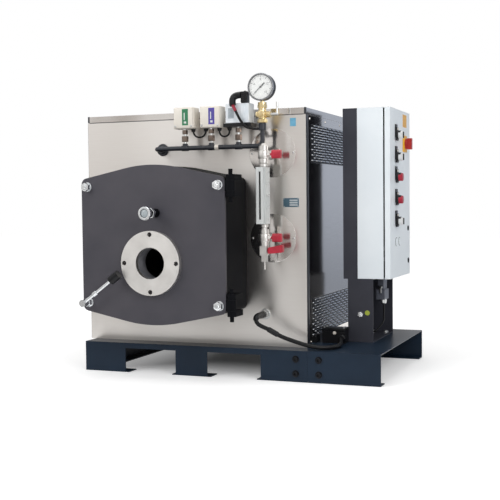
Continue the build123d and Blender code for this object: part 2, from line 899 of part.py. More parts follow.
def level_gauge_nodes():
    half_cock = cock_body_height / 2
    reflex_top = reflex_bottom_z + reflex_height
    upper = level_cock(upper_cock_z, reflex_top, upper_cock_z - half_cock)
    lower = level_cock(lower_cock_z, lower_cock_z + half_cock, reflex_bottom_z)
    drain_top = lower_cock_z - half_cock
    drain_low = drain_top - drain_cock_height
    nut_low = drain_low - drain_nut_height
    nozzle_low = nut_low - drain_nozzle_length
    half_drain = drain_cock_width / 2
    lower += block(
        level_x - half_drain, level_x + half_drain,
        level_y - half_drain, level_y + half_drain,
        drain_low, drain_top,
    )
    lower += hexagon_bar(drain_nut_width, (level_x, level_y, drain_low), (level_x, level_y, nut_low))
    lower += bar_z(drain_nozzle_radius, level_x, level_y, nozzle_low, nut_low)
    drain_axis_z = drain_top - drain_axis_drop
    drain_right = level_x + half_drain
    lower -= bar_x(
        handle_stem_radius + stem_clearance, level_y, drain_axis_z,
        drain_right - stem_seat, drain_right + 1,
    )
    save("level_cocks", upper, lower)

    half_width = reflex_width / 2
    half_cover = reflex_cover_width / 2
    half_slot = reflex_slot_width / 2
    body_front = level_y - reflex_depth / 2 - reflex_offset
    reflex_front = body_front - reflex_cover_depth
    body = block(
        level_x - half_width, level_x + half_width,
        body_front, body_front + reflex_depth,
        reflex_bottom_z, reflex_top,
    )
    body += block(
        level_x - half_cover, level_x + half_cover, reflex_front, body_front, reflex_bottom_z, reflex_top,
    )
    slot_low = reflex_bottom_z + reflex_slot_margin
    slot_high = reflex_top - reflex_slot_margin
    slot_back = reflex_front + reflex_slot_depth
    slot = block(
        level_x - half_slot, level_x + half_slot, reflex_front - 1, slot_back, slot_low, slot_high,
    )
    save("level_gauge_body", body - slot)
    glass_front = reflex_front + reflex_slot_depth / 2
    glass = block(
        level_x - half_slot, level_x + half_slot, glass_front, slot_back, slot_low, slot_high,
    )
    save("level_gauge_glass", glass)

    save("upper_cock_handle", cock_knob(upper_cock_z))
    save("lower_cock_handle", cock_knob(lower_cock_z))
    lever_low = drain_right + drain_lever_gap
    lever_high = lever_low + drain_lever_length
    handle = bar_x(
        handle_stem_radius, level_y, drain_axis_z, drain_right - stem_seat + seat_clearance, lever_low + 1,
    )
    half_lever = drain_lever_height / 2
    outline = Polyline(
        (lever_low, -half_lever), (lever_high, -half_lever + drain_lever_rise / 2),
        (lever_high, half_lever + drain_lever_rise), (lever_low, half_lever),
        close=True,
    )
    paddle = extrude(Plane.XZ * make_face(outline), amount=drain_lever_depth / 2, both=True)
    paddle = fillet(paddle.edges().filter_by(Axis.Y), half_lever * 0.5)
    handle += Pos(0, level_y, drain_axis_z) * paddle
    save("drain_handle", handle)
    return drain_axis_z, nozzle_low


def hose_nodes():
    nut_front = casing_front_y - fitting_length
    fitting = hexagon_bar(
        2 * fitting_radius, (fitting_x, casing_front_y, fitting_z),
        (fitting_x, nut_front, fitting_z),
    )
    tail_front = nut_front - hose_tail_length
    fitting += bar_y(hose_radius, fitting_x, fitting_z, nut_front, tail_front)
    save("hose_fitting", fitting)
    box = block(
        terminal_x, terminal_x + terminal_width, terminal_y, terminal_y + terminal_depth,
        base_height, base_height + terminal_height,
    )
    save("terminal_box", box)

    points = [
        (fitting_x, tail_front, fitting_z), (fitting_x, tail_front - hose_exit_run, fitting_z),
        *hose_route,
        (hose_end_x, terminal_y - hose_entry_run, hose_end_z), (hose_end_x, terminal_y, hose_end_z),
    ]
    radii = bend_radii(points)
    hose = tube_path(points, radii, hose_radius)
    length = hose.volume / (pi * hose_radius ** 2)
    print("hose radii", [round(radius) for radius in radii], "length", round(length))
    save("feed_hose", hose)


def stand_nodes():
    far_y = stand_y + stand_width
    sheet = stand_sheet
    pedestal_x = stand_x + pedestal_setback
    pedestal = block(pedestal_x, stand_x + stand_depth, stand_y, far_y, base_height, stand_top)
    pedestal -= block(
        pedestal_x + sheet, stand_x + stand_depth + 1,
        stand_y + sheet, far_y - sheet,
        base_height + sheet, stand_top - sheet,
    )
    column = block(stand_x, cabinet_x, stand_y, stand_y + column_width, stand_top, cabinet_top)
    column -= block(
        stand_x - 1, cabinet_x - sheet,
        stand_y + sheet, stand_y + column_width - sheet,
        stand_top + sheet, cabinet_top - sheet,
    )
    save("cabinet_stand", pedestal + column)


def cabinet_nodes():
    far_y = cabinet_y + cabinet_width
    sheet = cabinet_sheet
    box = block(cabinet_x, cabinet_front, cabinet_y, far_y, cabinet_z, cabinet_top)
    box -= block(
        cabinet_x + sheet, cabinet_front + 1,
        cabinet_y + sheet, far_y - sheet,
        cabinet_z + sheet, cabinet_top - sheet,
    )
    save("cabinet_box", box)

    door_sheet = cabinet_door_sheet
    door = block(cabinet_door_back, cabinet_door_front, cabinet_y, far_y, cabinet_z, cabinet_top)
    door -= block(
        cabinet_door_back - 1, cabinet_door_front - door_sheet,
        cabinet_y + door_sheet, far_y - door_sheet,
        cabinet_z + door_sheet, cabinet_top - door_sheet,
    )
    shaft_y = cabinet_y + isolator_y
    shaft_z = cabinet_z + isolator_z
    door -= bar_x(
        isolator_shaft_radius + stem_clearance, shaft_y, shaft_z, cabinet_door_back,
        cabinet_door_front + 1,
    )

    hinges = []
    for knuckle_z in (cabinet_z + door_hinge_drop, cabinet_top - door_hinge_drop):
        low = knuckle_z - door_knuckle_height / 2
        high = low + door_knuckle_height
        knuckle = bar_z(door_knuckle_radius, cabinet_hinge_x, cabinet_hinge_y, low, high)
        knuckle += block(
            cabinet_hinge_x, cabinet_door_front - door_sheet, cabinet_hinge_y - door_knuckle_radius,
            cabinet_hinge_y + door_knuckle_radius, low, high,
        )
        knuckle -= bar_z(
            door_pin_radius + hinge_running_clearance, cabinet_hinge_x, cabinet_hinge_y, low - 1,
            high + 1,
        )
        door += knuckle
        half_pin = door_pin_length / 2
        hinge = bar_z(
            door_pin_radius, cabinet_hinge_x, cabinet_hinge_y, knuckle_z - half_pin,
            knuckle_z + half_pin,
        )
        ears = ((knuckle_z - half_pin, low - knuckle_gap), (high + knuckle_gap, knuckle_z + half_pin))
        for ear_low, ear_high in ears:
            axis = (cabinet_hinge_x, cabinet_hinge_y)
            hinge += bar(door_knuckle_radius, (*axis, ear_low), (*axis, ear_high))
            arm_far = cabinet_hinge_y + hinge_arm_reach
            arm_near = cabinet_hinge_y + hinge_arm_clearance
            foot_right = cabinet_front - hinge_foot_setback
            foot_left = foot_right - hinge_foot_length
            arm_right = cabinet_hinge_x + door_knuckle_radius
            arm_left = cabinet_hinge_x - door_pin_radius
            hinge += block(arm_left, arm_right, cabinet_hinge_y, arm_far, ear_low, ear_high)
            hinge += block(foot_left, arm_right, arm_near, arm_far, ear_low, ear_high)
            hinge += block(foot_left, foot_right, cabinet_y + sheet, arm_far, ear_low, ear_high)
        hinges.append(hinge)
    save("cabinet_door", door)
    save("cabinet_hinges", *hinges)

    controls = []
    centre_y_value = cabinet_y + control_y
    for level in control_z:
        z = cabinet_z + level
        half_width = control_holder_width / 2
        unit = block(
            cabinet_door_front, cabinet_door_front + control_holder_thickness,
            centre_y_value - half_width,
            centre_y_value + half_width, z - half_width, z - half_width + control_holder_height,
        )
        unit += bar_x(
            control_radius, centre_y_value, z, cabinet_door_front,
            cabinet_door_front + control_length,
        )
        controls.append(unit)
    save("door_controls", *controls)

    hub_start = cabinet_door_front + isolator_stand_off
    hub_end = hub_start + isolator_hub_depth
    handle = bar_x(
        isolator_shaft_radius, shaft_y, shaft_z, cabinet_door_front - door_sheet, hub_start + 1,
    )
    handle += bar_x(isolator_hub_radius, shaft_y, shaft_z, hub_start, hub_end)
    handle += block(
        hub_end, hub_end + isolator_grip_depth,
        shaft_y - isolator_grip_width / 2, shaft_y + isolator_grip_width / 2,
        shaft_z - isolator_grip_length / 2, shaft_z + isolator_grip_length / 2,
    )
    save("isolator_handle", handle)
    return shaft_y, shaft_z


def connector_nodes():
    """Cable plug hanging under the cabinet inside the open side of the stand."""
    top = stand_top - stand_sheet
    centre = stand_y + connector_y
    x_high = stand_x + stand_depth + connector_overhang
    x_low = x_high - connector_width
    half = connector_depth / 2
    inset = connector_neck_inset
    neck_low = top - connector_neck_height
    low = neck_low - connector_height
    plug = block(x_low, x_high, centre - half, centre + half, low, neck_low)
    plug += block(x_low + inset, x_high - inset, centre - half + inset, centre + half - inset, neck_low, top)
    gland_x = x_high - connector_gland_inset
    gland_low = low - connector_gland_length
    plug += bar_z(connector_gland_radius, gland_x, centre, low, gland_low)
    save("cable_connector", plug)
    floor = base_height + stand_sheet
    entry_x = stand_x + pedestal_setback + stand_sheet
    side_y = centre - lead_side_step
    run_z = floor + lead_floor_rise
    points = [
        (gland_x, centre, gland_low), (gland_x, centre, floor + lead_bend_rise),
        (gland_x - lead_back_step, side_y, run_z), (entry_x, side_y, run_z),
    ]
    save("connector_lead", tube_path(points, lead_bends, lead_radius))


os.makedirs("parts", exist_ok=True)
base_nodes()
platform_nodes()
casing_nodes()
vessel_nodes()
door_nodes()
hinge_nodes()
manifold_nodes()
switch_nodes()
gauge_nodes()
drain_axis_z, nozzle_low = level_gauge_nodes()
hose_nodes()
stand_nodes()
shaft_y, shaft_z = cabinet_nodes()
connector_nodes()


def report_place(name, x, y, z):
    """Prints a place of a joint or a mount in metres about the origin."""
    print(
        "place", name, round((x - centre_x) / 1000, 6), round((y - centre_y) / 1000, 6),
        round(z / 1000, 6),
    )


report_place("furnace_door", hinge_x, hinge_y, door_centre_z)
report_place("cabinet_door", cabinet_hinge_x, cabinet_hinge_y, (cabinet_z + cabinet_top) / 2)
report_place("isolator", cabinet_door_front, shaft_y, shaft_z)
report_place("upper_cock", level_x + cock_body_width / 2, level_y, upper_cock_z)
report_place("lower_cock", level_x + cock_body_width / 2, level_y, lower_cock_z)
report_place("drain", level_x + drain_cock_width / 2, level_y, drain_axis_z)
report_place("gauge_cock", gauge_x + cock_plug_length, manifold_y, cock_plug_z)
report_place("burner", door_centre_x, flange_front, burner_z)
report_place("flue", door_centre_x, flue_back, flue_height)
report_place("nozzle", level_x, level_y, nozzle_low)
report_place("foot", first_pocket_x / 2, foot_width / 2, 0)
report_place("base_corner", 0, 0, 0)
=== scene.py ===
import json
from math import cos, pi, radians, sin

import bmesh
import bpy
from mathutils import Matrix, Vector

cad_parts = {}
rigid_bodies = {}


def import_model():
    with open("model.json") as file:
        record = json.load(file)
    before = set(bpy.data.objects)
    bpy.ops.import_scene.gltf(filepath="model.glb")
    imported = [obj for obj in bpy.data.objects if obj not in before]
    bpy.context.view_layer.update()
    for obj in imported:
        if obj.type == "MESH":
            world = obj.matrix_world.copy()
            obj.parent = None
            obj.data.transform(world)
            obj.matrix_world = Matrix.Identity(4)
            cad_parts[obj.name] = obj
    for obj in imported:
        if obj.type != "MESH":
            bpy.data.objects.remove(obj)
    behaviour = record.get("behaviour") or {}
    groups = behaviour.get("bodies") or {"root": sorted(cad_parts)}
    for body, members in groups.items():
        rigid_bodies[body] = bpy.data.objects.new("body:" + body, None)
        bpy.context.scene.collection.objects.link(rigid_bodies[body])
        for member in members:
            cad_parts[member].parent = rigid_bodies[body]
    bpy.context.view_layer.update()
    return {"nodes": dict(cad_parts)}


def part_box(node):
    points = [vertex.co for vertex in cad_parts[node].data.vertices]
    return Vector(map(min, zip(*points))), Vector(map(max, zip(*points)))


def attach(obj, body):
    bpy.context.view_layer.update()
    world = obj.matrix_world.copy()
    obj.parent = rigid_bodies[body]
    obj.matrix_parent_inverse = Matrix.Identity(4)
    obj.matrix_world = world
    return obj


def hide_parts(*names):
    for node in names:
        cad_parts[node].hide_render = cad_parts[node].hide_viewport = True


for leftover in list(bpy.data.objects):
    bpy.data.objects.remove(leftover)
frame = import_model()
nodes = frame["nodes"]

# Base and platform
# Folded 4 mm steel sheet, welded, on turned-in feet, with two pockets for lifting forks.
# Dark blue-grey gloss powder coat. The platform is bolted on at the right with cap screws.
base_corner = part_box("base_decks")[0]
frame_body = "boiler_frame"
to_right, to_left = (1, 0, 0), (-1, 0, 0)
to_front, to_back = (0, -1, 0), (0, 1, 0)
upward, downward = (0, 0, 1), (0, 0, -1)
sharp_edge = radians(33)
cloud_stops = (0.32, 0.68)


def spot(x, y, z):
    """Millimetres from the front left corner of the base to metres in the frame."""
    return Vector((base_corner.x + x / 1000, base_corner.y + y / 1000, z / 1000))


def extent(name):
    """Lowest and highest corner of a CAD node, in millimetres from the front left corner of the base."""
    shift = Vector((base_corner.x, base_corner.y, 0.0))
    return [(corner - shift) * 1000 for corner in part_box(name)]


def centre_of(name):
    """Middle of a CAD node's box in millimetres."""
    low, high = extent(name)
    return (low + high) / 2


def linear(code):
    """An sRGB hex colour as linear light."""
    channels = [int(code[index:index + 2], 16) / 255 for index in (1, 3, 5)]
    return [c / 12.92 if c <= 0.04045 else ((c + 0.055) / 1.055) ** 2.4 for c in channels] + [1.0]


def add(tree, kind, inputs=None, **settings):
    """Adds a node with its settings, and fills or links its inputs. A node stands for its first output."""
    made = tree.nodes.new(kind)
    for key, value in settings.items():
        setattr(made, key, value)
    for key, value in (inputs or {}).items():
        source = value.outputs[0] if isinstance(value, bpy.types.Node) else value
        if isinstance(source, bpy.types.NodeSocket):
            tree.links.new(source, made.inputs[key])
        else:
            made.inputs[key].default_value = source
    return made


def start_material(name):
    """A new material with its tree and the object's own coordinates."""
    material = bpy.data.materials.new(name)
    material.use_nodes = True
    tree = material.node_tree
    tree.nodes.clear()
    return material, tree, add(tree, "ShaderNodeTexCoord").outputs["Object"]


def close_material(material, inputs):
    """Ends a material in a principled shader with these inputs."""
    shader = add(material.node_tree, "ShaderNodeBsdfPrincipled", inputs)
    add(material.node_tree, "ShaderNodeOutputMaterial", {"Surface": shader})
    return material


def noise(tree, where, size_mm, detail):
    """Noise with spots of about this size."""
    return add(tree, "ShaderNodeTexNoise", {"Vector": where, "Scale": 1000 / size_mm, "Detail": detail})


def clouded(tree, where, light, shade, size_mm, detail):
    """Slow clouds between two tones, and the noise behind them."""
    drift = noise(tree, where, size_mm, detail)
    ramp = add(tree, "ShaderNodeValToRGB", {"Fac": drift})
    for stop, place, code in zip(ramp.color_ramp.elements, cloud_stops, (shade, light)):
        stop.position = place
        stop.color = linear(code)
    return ramp, drift


def relief(tree, height, strength, depth_mm, edge_mm=0.0):
    """Small bumps from a height, with the edges of the piece rounded where a radius is given."""
    inputs = {"Height": height, "Strength": strength, "Distance": depth_mm / 1000}
    if edge_mm:
        inputs["Normal"] = add(tree, "ShaderNodeBevel", {"Radius": edge_mm / 1000}, samples=4)
    return add(tree, "ShaderNodeBump", inputs)


def spread(tree, value, low, high, start=0.0, end=1.0, ease="LINEAR"):
    """Maps a value from the range between start and end to the range between low and high."""
    return add(tree, "ShaderNodeMapRange", {
        "Value": value, "From Min": start, "From Max": end, "To Min": low, "To Max": high,
    }, interpolation_type=ease)


def surface(name, light, shade, gloss_range, clouds, grain, edge_mm, extra):
    """A finish with clouds of tone and gloss over a fine grain.

    Clouds are size and detail. Grain is size, detail, strength and depth. Sizes are in millimetres.
    """
    material, tree, where = start_material(name)
    tone, drift = clouded(tree, where, light, shade, *clouds)
    gloss = spread(tree, drift, *gloss_range)
    grain_mm, detail, strength, depth_mm = grain
    bump = relief(tree, noise(tree, where, grain_mm, detail), strength, depth_mm, edge_mm)
    return close_material(material, {"Base Color": tone, "Roughness": gloss, "Normal": bump, **extra})


def coated_steel(
    name, light, shade, roughness, peel_mm=3.0, peel=0.08, cloud_mm=180, edge_mm=1.0, gloss_level=0.5,
):
    """Powder-coated or painted steel: an even film with faint orange peel, and edges rounded by the film."""
    gloss_range = (roughness - 0.05, roughness + 0.05)
    grain = (peel_mm, 2.0, peel, 0.4)
    extra = {"Specular IOR Level": gloss_level}
    return surface(name, light, shade, gloss_range, (cloud_mm, 4.0), grain, edge_mm, extra)


def dress(material, *names):
    """Gives CAD nodes their finish."""
    for name in names:
        nodes[name].data.materials.clear()
        nodes[name].data.materials.append(material)


def join_rings(shape, rings, capped=False):
    """Closes the bands between rings of corners, and the first and last ring where they are capped."""
    for low, high in zip(rings, rings[1:]):
        for index in range(len(low)):
            after = (index + 1) % len(low)
            corners = list(dict.fromkeys([low[index], low[after], high[after], high[index]]))
            if len(corners) > 2:
                shape.faces.new(corners)
    if capped:
        shape.faces.new(rings[0])
        shape.faces.new(rings[-1])


def turned(shape, centre, along, profile, sides):
    """Adds a turned form about a centre in metres: distances along its axis and radii in millimetres."""
    along = Vector(along).normalized()
    side = along.orthogonal().normalized()
    across = along.cross(side)
    turns = [2 * pi * (index + 0.5) / sides for index in range(sides)]
    ways = [side * cos(turn) + across * sin(turn) for turn in turns]
    rings = []
    for distance, radius in profile:
        middle = Vector(centre) + along * distance / 1000
        if radius == 0:
            rings.append([shape.verts.new(middle)] * sides)
        else:
            rings.append([shape.verts.new(middle + way * radius / 1000) for way in ways])
    join_rings(shape, rings)


def brick(shape, corner, far_corner, edge=1.0, steps=2):
    """Adds a block between two corners in millimetres, with rounded edges."""
    size = [abs(b - a) / 1000 for a, b in zip(corner, far_corner)]
    middle = spot(*[(a + b) / 2 for a, b in zip(corner, far_corner)])
    made = bmesh.ops.create_cube(
        shape, size=1.0, matrix=Matrix.Translation(middle) @ Matrix.Diagonal((*size, 1.0)),
    )
    edges = {line for point in made["verts"] for line in point.link_edges}
    bmesh.ops.bevel(
        shape, geom=list(edges), offset=edge / 1000, segments=steps, profile=0.5, affect="EDGES",
    )


def link_object(name, data):
    """A new object in the scene."""
    made = bpy.data.objects.new(name, data)
    bpy.context.scene.collection.objects.link(made)
    return made


def outward_mesh(name, shape):
    """A mesh from a bmesh, with its faces turned outwards."""
    bmesh.ops.recalc_face_normals(shape, faces=shape.faces)
    mesh = bpy.data.meshes.new(name)
    shape.to_mesh(mesh)
    shape.free()
    return mesh


def baked_mesh(name, holder):
    """The evaluated mesh of a helper object, which is then removed."""
    graph = bpy.context.evaluated_depsgraph_get()
    mesh = bpy.data.meshes.new_from_object(holder.evaluated_get(graph))
    mesh.name = name
    bpy.data.objects.remove(holder)
    return mesh


def place_piece(name, mesh, body):
    """Smooth-shades a finished mesh and lets it ride on a body."""
    mesh.shade_smooth()
    mesh.set_sharp_from_angle(angle=sharp_edge)
    piece = link_object(name, mesh)
    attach(piece, body)
    return piece


def finish_piece(name, shape, material, body=frame_body):
    """Turns a bmesh into a piece."""
    mesh = outward_mesh(name, shape)
    mesh.materials.append(material)
    return place_piece(name, mesh, body)


def make_piece(name, material, rounds=(), blocks=(), body=frame_body):
    """A piece of turned forms and blocks, with all places in millimetres."""
    shape = bmesh.new()
    for place, *form in rounds:
        turned(shape, spot(*place), *form)
    for block in blocks:
        brick(shape, *block)
    return finish_piece(name, shape, material, body)


def open_tree(name, result, sockets):
    """A new geometry tree with named inputs, and the sockets that bring them in."""
    tree = bpy.data.node_groups.new(name, "GeometryNodeTree")
    for socket_name, kind in sockets.items():
        tree.interface.new_socket(socket_name, in_out="INPUT", socket_type="NodeSocket" + kind)
    tree.interface.new_socket(result, in_out="OUTPUT", socket_type="NodeSocketGeometry")
    return tree, add(tree, "NodeGroupInput").outputs


def close_tree(tree, copies, finish):
    """Makes the copies in a tree real, gives them their finish and hands them out."""
    real = add(tree, "GeometryNodeRealizeInstances", {"Geometry": copies})
    finished = add(tree, "GeometryNodeSetMaterial", {"Geometry": real, "Material": finish})
    add(tree, "NodeGroupOutput", {0: finished})


def run_tree(name, holder, tree, values, body=frame_body):
    """Sets a tree's inputs, evaluates it and keeps the result as a plain piece."""
    modifier = holder.modifiers.new(name, "NODES")
    modifier.node_group = tree
    for socket in tree.interface.items_tree:
        if socket.in_out == "INPUT" and socket.name in values:
            modifier[socket.identifier] = values[socket.name]
    place_piece(name, baked_mesh(name, holder), body)


# One tree sets the same fastener on every point of a mesh, as screws are set in a row of holes.
fastener_tree, given = open_tree("fasteners_in_holes", "Fasteners", {
    "Holes": "Geometry", "Fastener": "Object", "Finish": "Material",
})
pattern = add(fastener_tree, "GeometryNodeObjectInfo", {"Object": given["Fastener"]})
set_screws = add(fastener_tree, "GeometryNodeInstanceOnPoints", {
    "Points": given["Holes"], "Instance": pattern.outputs["Geometry"],
})
close_tree(fastener_tree, set_screws, given["Finish"])


def fasteners(name, places, along, profile, sides, material, body=frame_body):
    """Sets one turned fastener on each place in millimetres, standing out along an axis."""
    shape = bmesh.new()
    turned(shape, (0, 0, 0), along, profile, sides)
    mould = link_object(name + "_mould", outward_mesh(name + "_mould", shape))
    points = bpy.data.meshes.new(name + "_holes")
    points.from_pydata([spot(*place) for place in places], [], [])
    values = {"Fastener": mould, "Finish": material}
    run_tree(name, link_object(name + "_holes", points), fastener_tree, values, body)
    bpy.data.objects.remove(mould)


base_paint = coated_steel("blue_grey_powder_coat", "#1f2d3d", "#1a2634", 0.3, edge_mm=1.5, gloss_level=0.15)
dress(base_paint, "base_cross_rails", "base_side_rails", "base_decks", "platform_skirts", "vessel_saddles")
skirt_low, skirt_high = extent("platform_skirts")
cap_screw = [(0, 13), (1.8, 13.5), (2, 10.4), (8.6, 10.4), (9.8, 9.2), (9.8, 5.2), (5, 5.2), (5, 0)]
dark_screw = coated_steel(
    "blackened_screw_steel", "#0b0e16", "#06080c", 0.25, peel_mm=1.5, edge_mm=0.8, gloss_level=0.2,
)
splice = [(skirt_low.x + step, z) for step in (-46, 46) for z in (32, 88)]
rear_shift = 70
front_splice = [(x, 0, z) for x, z in splice]
fasteners("splice_screws", front_splice, to_front, cap_screw, 24, dark_screw)
rear_splice = [(x + rear_shift, skirt_high.y, z) for x, z in splice]
fasteners("platform_rear_screws", rear_splice, to_back, cap_screw, 24, dark_screw)

# Casing
# Bright rolled stainless sheet, 2 mm, screwed to a hidden frame, with a shadow gap under the top cover.
# Close to a mirror, and wiped duller at the front. Level rolling lines draw reflections out upwards.
panel_low, panel_high = extent("casing_front_panel")
cover_high = extent("casing_top_cover")[1]


def rolled_stainless(name, light, shade, roughness, drawn):
    """Cold-rolled stainless: mirror-like, blurred more upwards than sideways, with slow waves."""
    material, tree, where = start_material(name)
    level_lines = add(tree, "ShaderNodeMapping", {"Vector": where, "Scale": (1.0, 1.0, 40.0)})
    tone, lines = clouded(tree, level_lines, light, shade, 110, 3.0)
    gloss = spread(tree, lines, roughness * 0.95, roughness * 1.05)
    bump = relief(tree, noise(tree, where, 320, 1.0), 0.16, 6.0, 0.8)
    level = add(tree, "ShaderNodeTangent", direction_type="RADIAL", axis="Z")
    return close_material(material, {
        "Base Color": tone, "Metallic": 1.0, "Roughness": gloss, "Normal": bump,
        "Anisotropic": drawn, "Anisotropic Rotation": 0.25, "Tangent": level,
    })


stainless = rolled_stainless("rolled_stainless_sheet", "#dedad6", "#d9d5d1", 0.12, 0.7)
front_stainless = rolled_stainless("wiped_front_stainless", "#dddad6", "#dbd7d3", 0.3, 0.7)
dress(stainless, "casing_side_panels", "casing_rear_panel", "casing_top_cover", "flue_collar")
dress(front_stainless, "casing_front_panel")

# Louvre fields
# Short hoods pressed out of plates behind the side openings, in staggered rows, so that drips run off them.
# A dark strip under each hood is painted shade in its slot. One tree lays out the rows of all four fields.
louvre_low, louvre_high = extent("side_louvres")
louvre_lap = 10
slot_pitch, row_pitch = 60.0, 10.5
row_count, slots_in_row = 14, 12
hood_length, hood_out = 48.0, 3.4
# Painted shade: the stainless plate behind the hoods is coloured dark for the shade behind the openings.
painted_shade_plate_steel = rolled_stainless("louvre_plate_painted_shade", "#2e3036", "#25272c", 0.28, 0.4)
dress(painted_shade_plate_steel, "side_louvres")


def maths(tree, operation, *values):
    """One step of arithmetic in a tree."""
    return add(tree, "ShaderNodeMath", dict(enumerate(values)), operation=operation)


louvre_tree, given = open_tree("louvre_rows", "Louvres", {
    "Hood": "Object", "Finish": "Material", "Rows": "Int", "Slots in a row": "Int",
    "Row pitch": "Float", "Slot pitch": "Float", "Corner": "Vector",
})
row_step = add(louvre_tree, "ShaderNodeCombineXYZ", {"Z": given["Row pitch"]})
rows = add(louvre_tree, "GeometryNodeMeshLine", {
    "Count": given["Rows"], "Start Location": given["Corner"], "Offset": row_step,
}, mode="OFFSET")
row_number = add(louvre_tree, "GeometryNodeInputIndex")
odd_row = maths(louvre_tree, "MODULO", row_number, 2.0)
half_pitch = maths(louvre_tree, "MULTIPLY", given["Slot pitch"], 0.5)
stagger = maths(louvre_tree, "MULTIPLY", odd_row, half_pitch)
stagger_step = add(louvre_tree, "ShaderNodeCombineXYZ", {"Y": stagger})
staggered = add(louvre_tree, "GeometryNodeSetPosition", {"Geometry": rows, "Offset": stagger_step})
slot_step = add(louvre_tree, "ShaderNodeCombineXYZ", {"Y": given["Slot pitch"]})
one_row = add(louvre_tree, "GeometryNodeMeshLine", {
    "Count": given["Slots in a row"], "Offset": slot_step,
}, mode="OFFSET")
hood_shape = add(louvre_tree, "GeometryNodeObjectInfo", {"Object": given["Hood"]})
hood_row = add(louvre_tree, "GeometryNodeInstanceOnPoints", {
    "Points": one_row, "Instance": hood_shape.outputs["Geometry"],
})
hood_rows = add(louvre_tree, "GeometryNodeInstanceOnPoints", {"Points": staggered, "Instance": hood_row})
close_tree(louvre_tree, hood_rows, given["Finish"])


def louvre_field(name, outward, x, z_low, profile, length, material):
    """One field of louvres on a side plate; the profile is outwards and upwards in millimetres."""
    shape = bmesh.new()
    rings = []
    for along, height in ((-0.5, 0.06), (-0.44, 1.0), (0.44, 1.0), (0.5, 0.06)):
        ring = [(outward * out * height / 1000, along * length / 1000, up / 1000) for out, up in profile]
        rings.append([shape.verts.new(point) for point in ring])
    join_rings(shape, rings, capped=True)
    hood = link_object(name + "_mould", outward_mesh(name + "_mould", shape))
    first_y = louvre_low.y + 2 * louvre_lap + slot_pitch / 2
    values = {
        "Hood": hood, "Finish": material, "Rows": row_count, "Slots in a row": slots_in_row,
        "Row pitch": row_pitch / 1000, "Slot pitch": slot_pitch / 1000,
        "Corner": spot(x, first_y, z_low + row_pitch / 2),
    }
    holder = link_object(name + "_rows", bpy.data.meshes.new(name + "_rows"))
    run_tree(name, holder, louvre_tree, values)
    bpy.data.objects.remove(hood)


hood_steel = rolled_stainless("pressed_hood_stainless", "#e4e6ea", "#d4d7dc", 0.2, 0.3)
# Painted shade: thin dark strips under the hoods stand in for the shade inside each slot.
slot_shade = coated_steel("shade_under_louvre", "#0f1115", "#0a0b0e", 0.8, edge_mm=0.1)
hood_profile = [(0, 3.4), (2.2, 2.8), (hood_out, 0.4), (hood_out, -0.7), (hood_out - 1, -0.7), (0, 1.4)]
slot_shade_profile = [(0, 0.8), (0.4, 0.8), (0.4, -4.2), (0, -4.2)]
field_levels = {
    "lower": louvre_low.z + louvre_lap,
    "upper": louvre_high.z - louvre_lap - row_count * row_pitch,
}
for level_name, field_z in field_levels.items():
    for side_name, outward, plate_x in (("right", 1, louvre_high.x), ("left", -1, louvre_low.x)):
        hood_name = side_name + "_hoods_" + level_name
        louvre_field(hood_name, outward, plate_x, field_z, hood_profile, hood_length, hood_steel)
        slot_shade_name = side_name + "_slots_" + level_name
        louvre_field(slot_shade_name, outward, plate_x, field_z, slot_shade_profile, hood_length - 4, slot_shade)

# Edge strips and screws of the casing
# Dark extruded strips close the front corners, with moulded caps where the top cover ends.
# Pan-head sheet-metal screws hold the panels.
trim_black = coated_steel("dark_edge_strip", "#2b2d34", "#212329", 0.35, peel_mm=1.2, edge_mm=0.5)
strip_width, strip_stand, strip_foot = 30, 1.0, 121
trim_blocks = []
for side, x in ((1, panel_high.x), (-1, panel_low.x)):
    strip_end = (x + side * strip_stand, panel_low.y + strip_width, panel_high.z)
    trim_blocks.append(((x, panel_low.y, strip_foot), strip_end, 0.4))
    cap_end = (x - side * 7, panel_low.y + 9, cover_high.z + 0.6)
    trim_blocks.append(((x + side * 0.6, panel_low.y - 1, panel_high.z + 1), cap_end, 0.8))
make_piece("casing_edge_trim", trim_black, blocks=trim_blocks)
# Painted shadow: a dark strip along the gap under the top cover stands in for the shade in the seam.
gap_low = panel_high.z - 0.8
make_piece("cover_gap_seal", trim_black, blocks=[
    ((panel_low.x + 8, panel_low.y - 0.5, gap_low), (panel_high.x - 8, panel_low.y + 1, gap_low + 3), 0.3, 1),
])


def plated_steel(name, light, shade, roughness):
    """Zinc or nickel plated metal: bright, with fine tool marks and a slight change of tone."""
    gloss_range = (roughness - 0.05, roughness + 0.08)
    tool_marks = (1.2, 3.0, 0.1, 0.2)
    return surface(name, light, shade, gloss_range, (40, 5.0), tool_marks, 0.8, {"Metallic": 1.0})


zinc = plated_steel("zinc_plated_steel", "#dedfde", "#c6c8c8", 0.28)
pan_head = [(0, 4.2), (0.8, 4.4), (1.9, 3.6), (2.3, 2.4), (2.3, 1.3), (1.2, 1.1), (1.2, 0)]
side_screws = [(panel_low.y + step, z) for step in (50, 255, 465, 675, 875) for z in (137, 1010)]
for side_name, x, outward in (("right", panel_high.x, to_right), ("left", panel_low.x, to_left)):
    places = [(x, y, z) for y, z in side_screws]
    fasteners(side_name + "_panel_screws", places, outward, pan_head, 16, stainless)
flue = centre_of("flue_collar")
flue_front = extent("flue_collar")[0].y
flue_pitch, flue_sheet = 103, 4
rear_screws = [(x, flue_front, z) for x in (10, 240, 678, 908) for z in (140, 580, 1005)]
for step in range(8):
    turn = pi / 4 * (step + 0.5)
    ring_x, ring_z = flue.x + flue_pitch * cos(turn), flue.z + flue_pitch * sin(turn)
    rear_screws.append((ring_x, flue_front + flue_sheet, ring_z))
fasteners("rear_panel_screws", rear_screws, to_back, pan_head, 16, zinc)

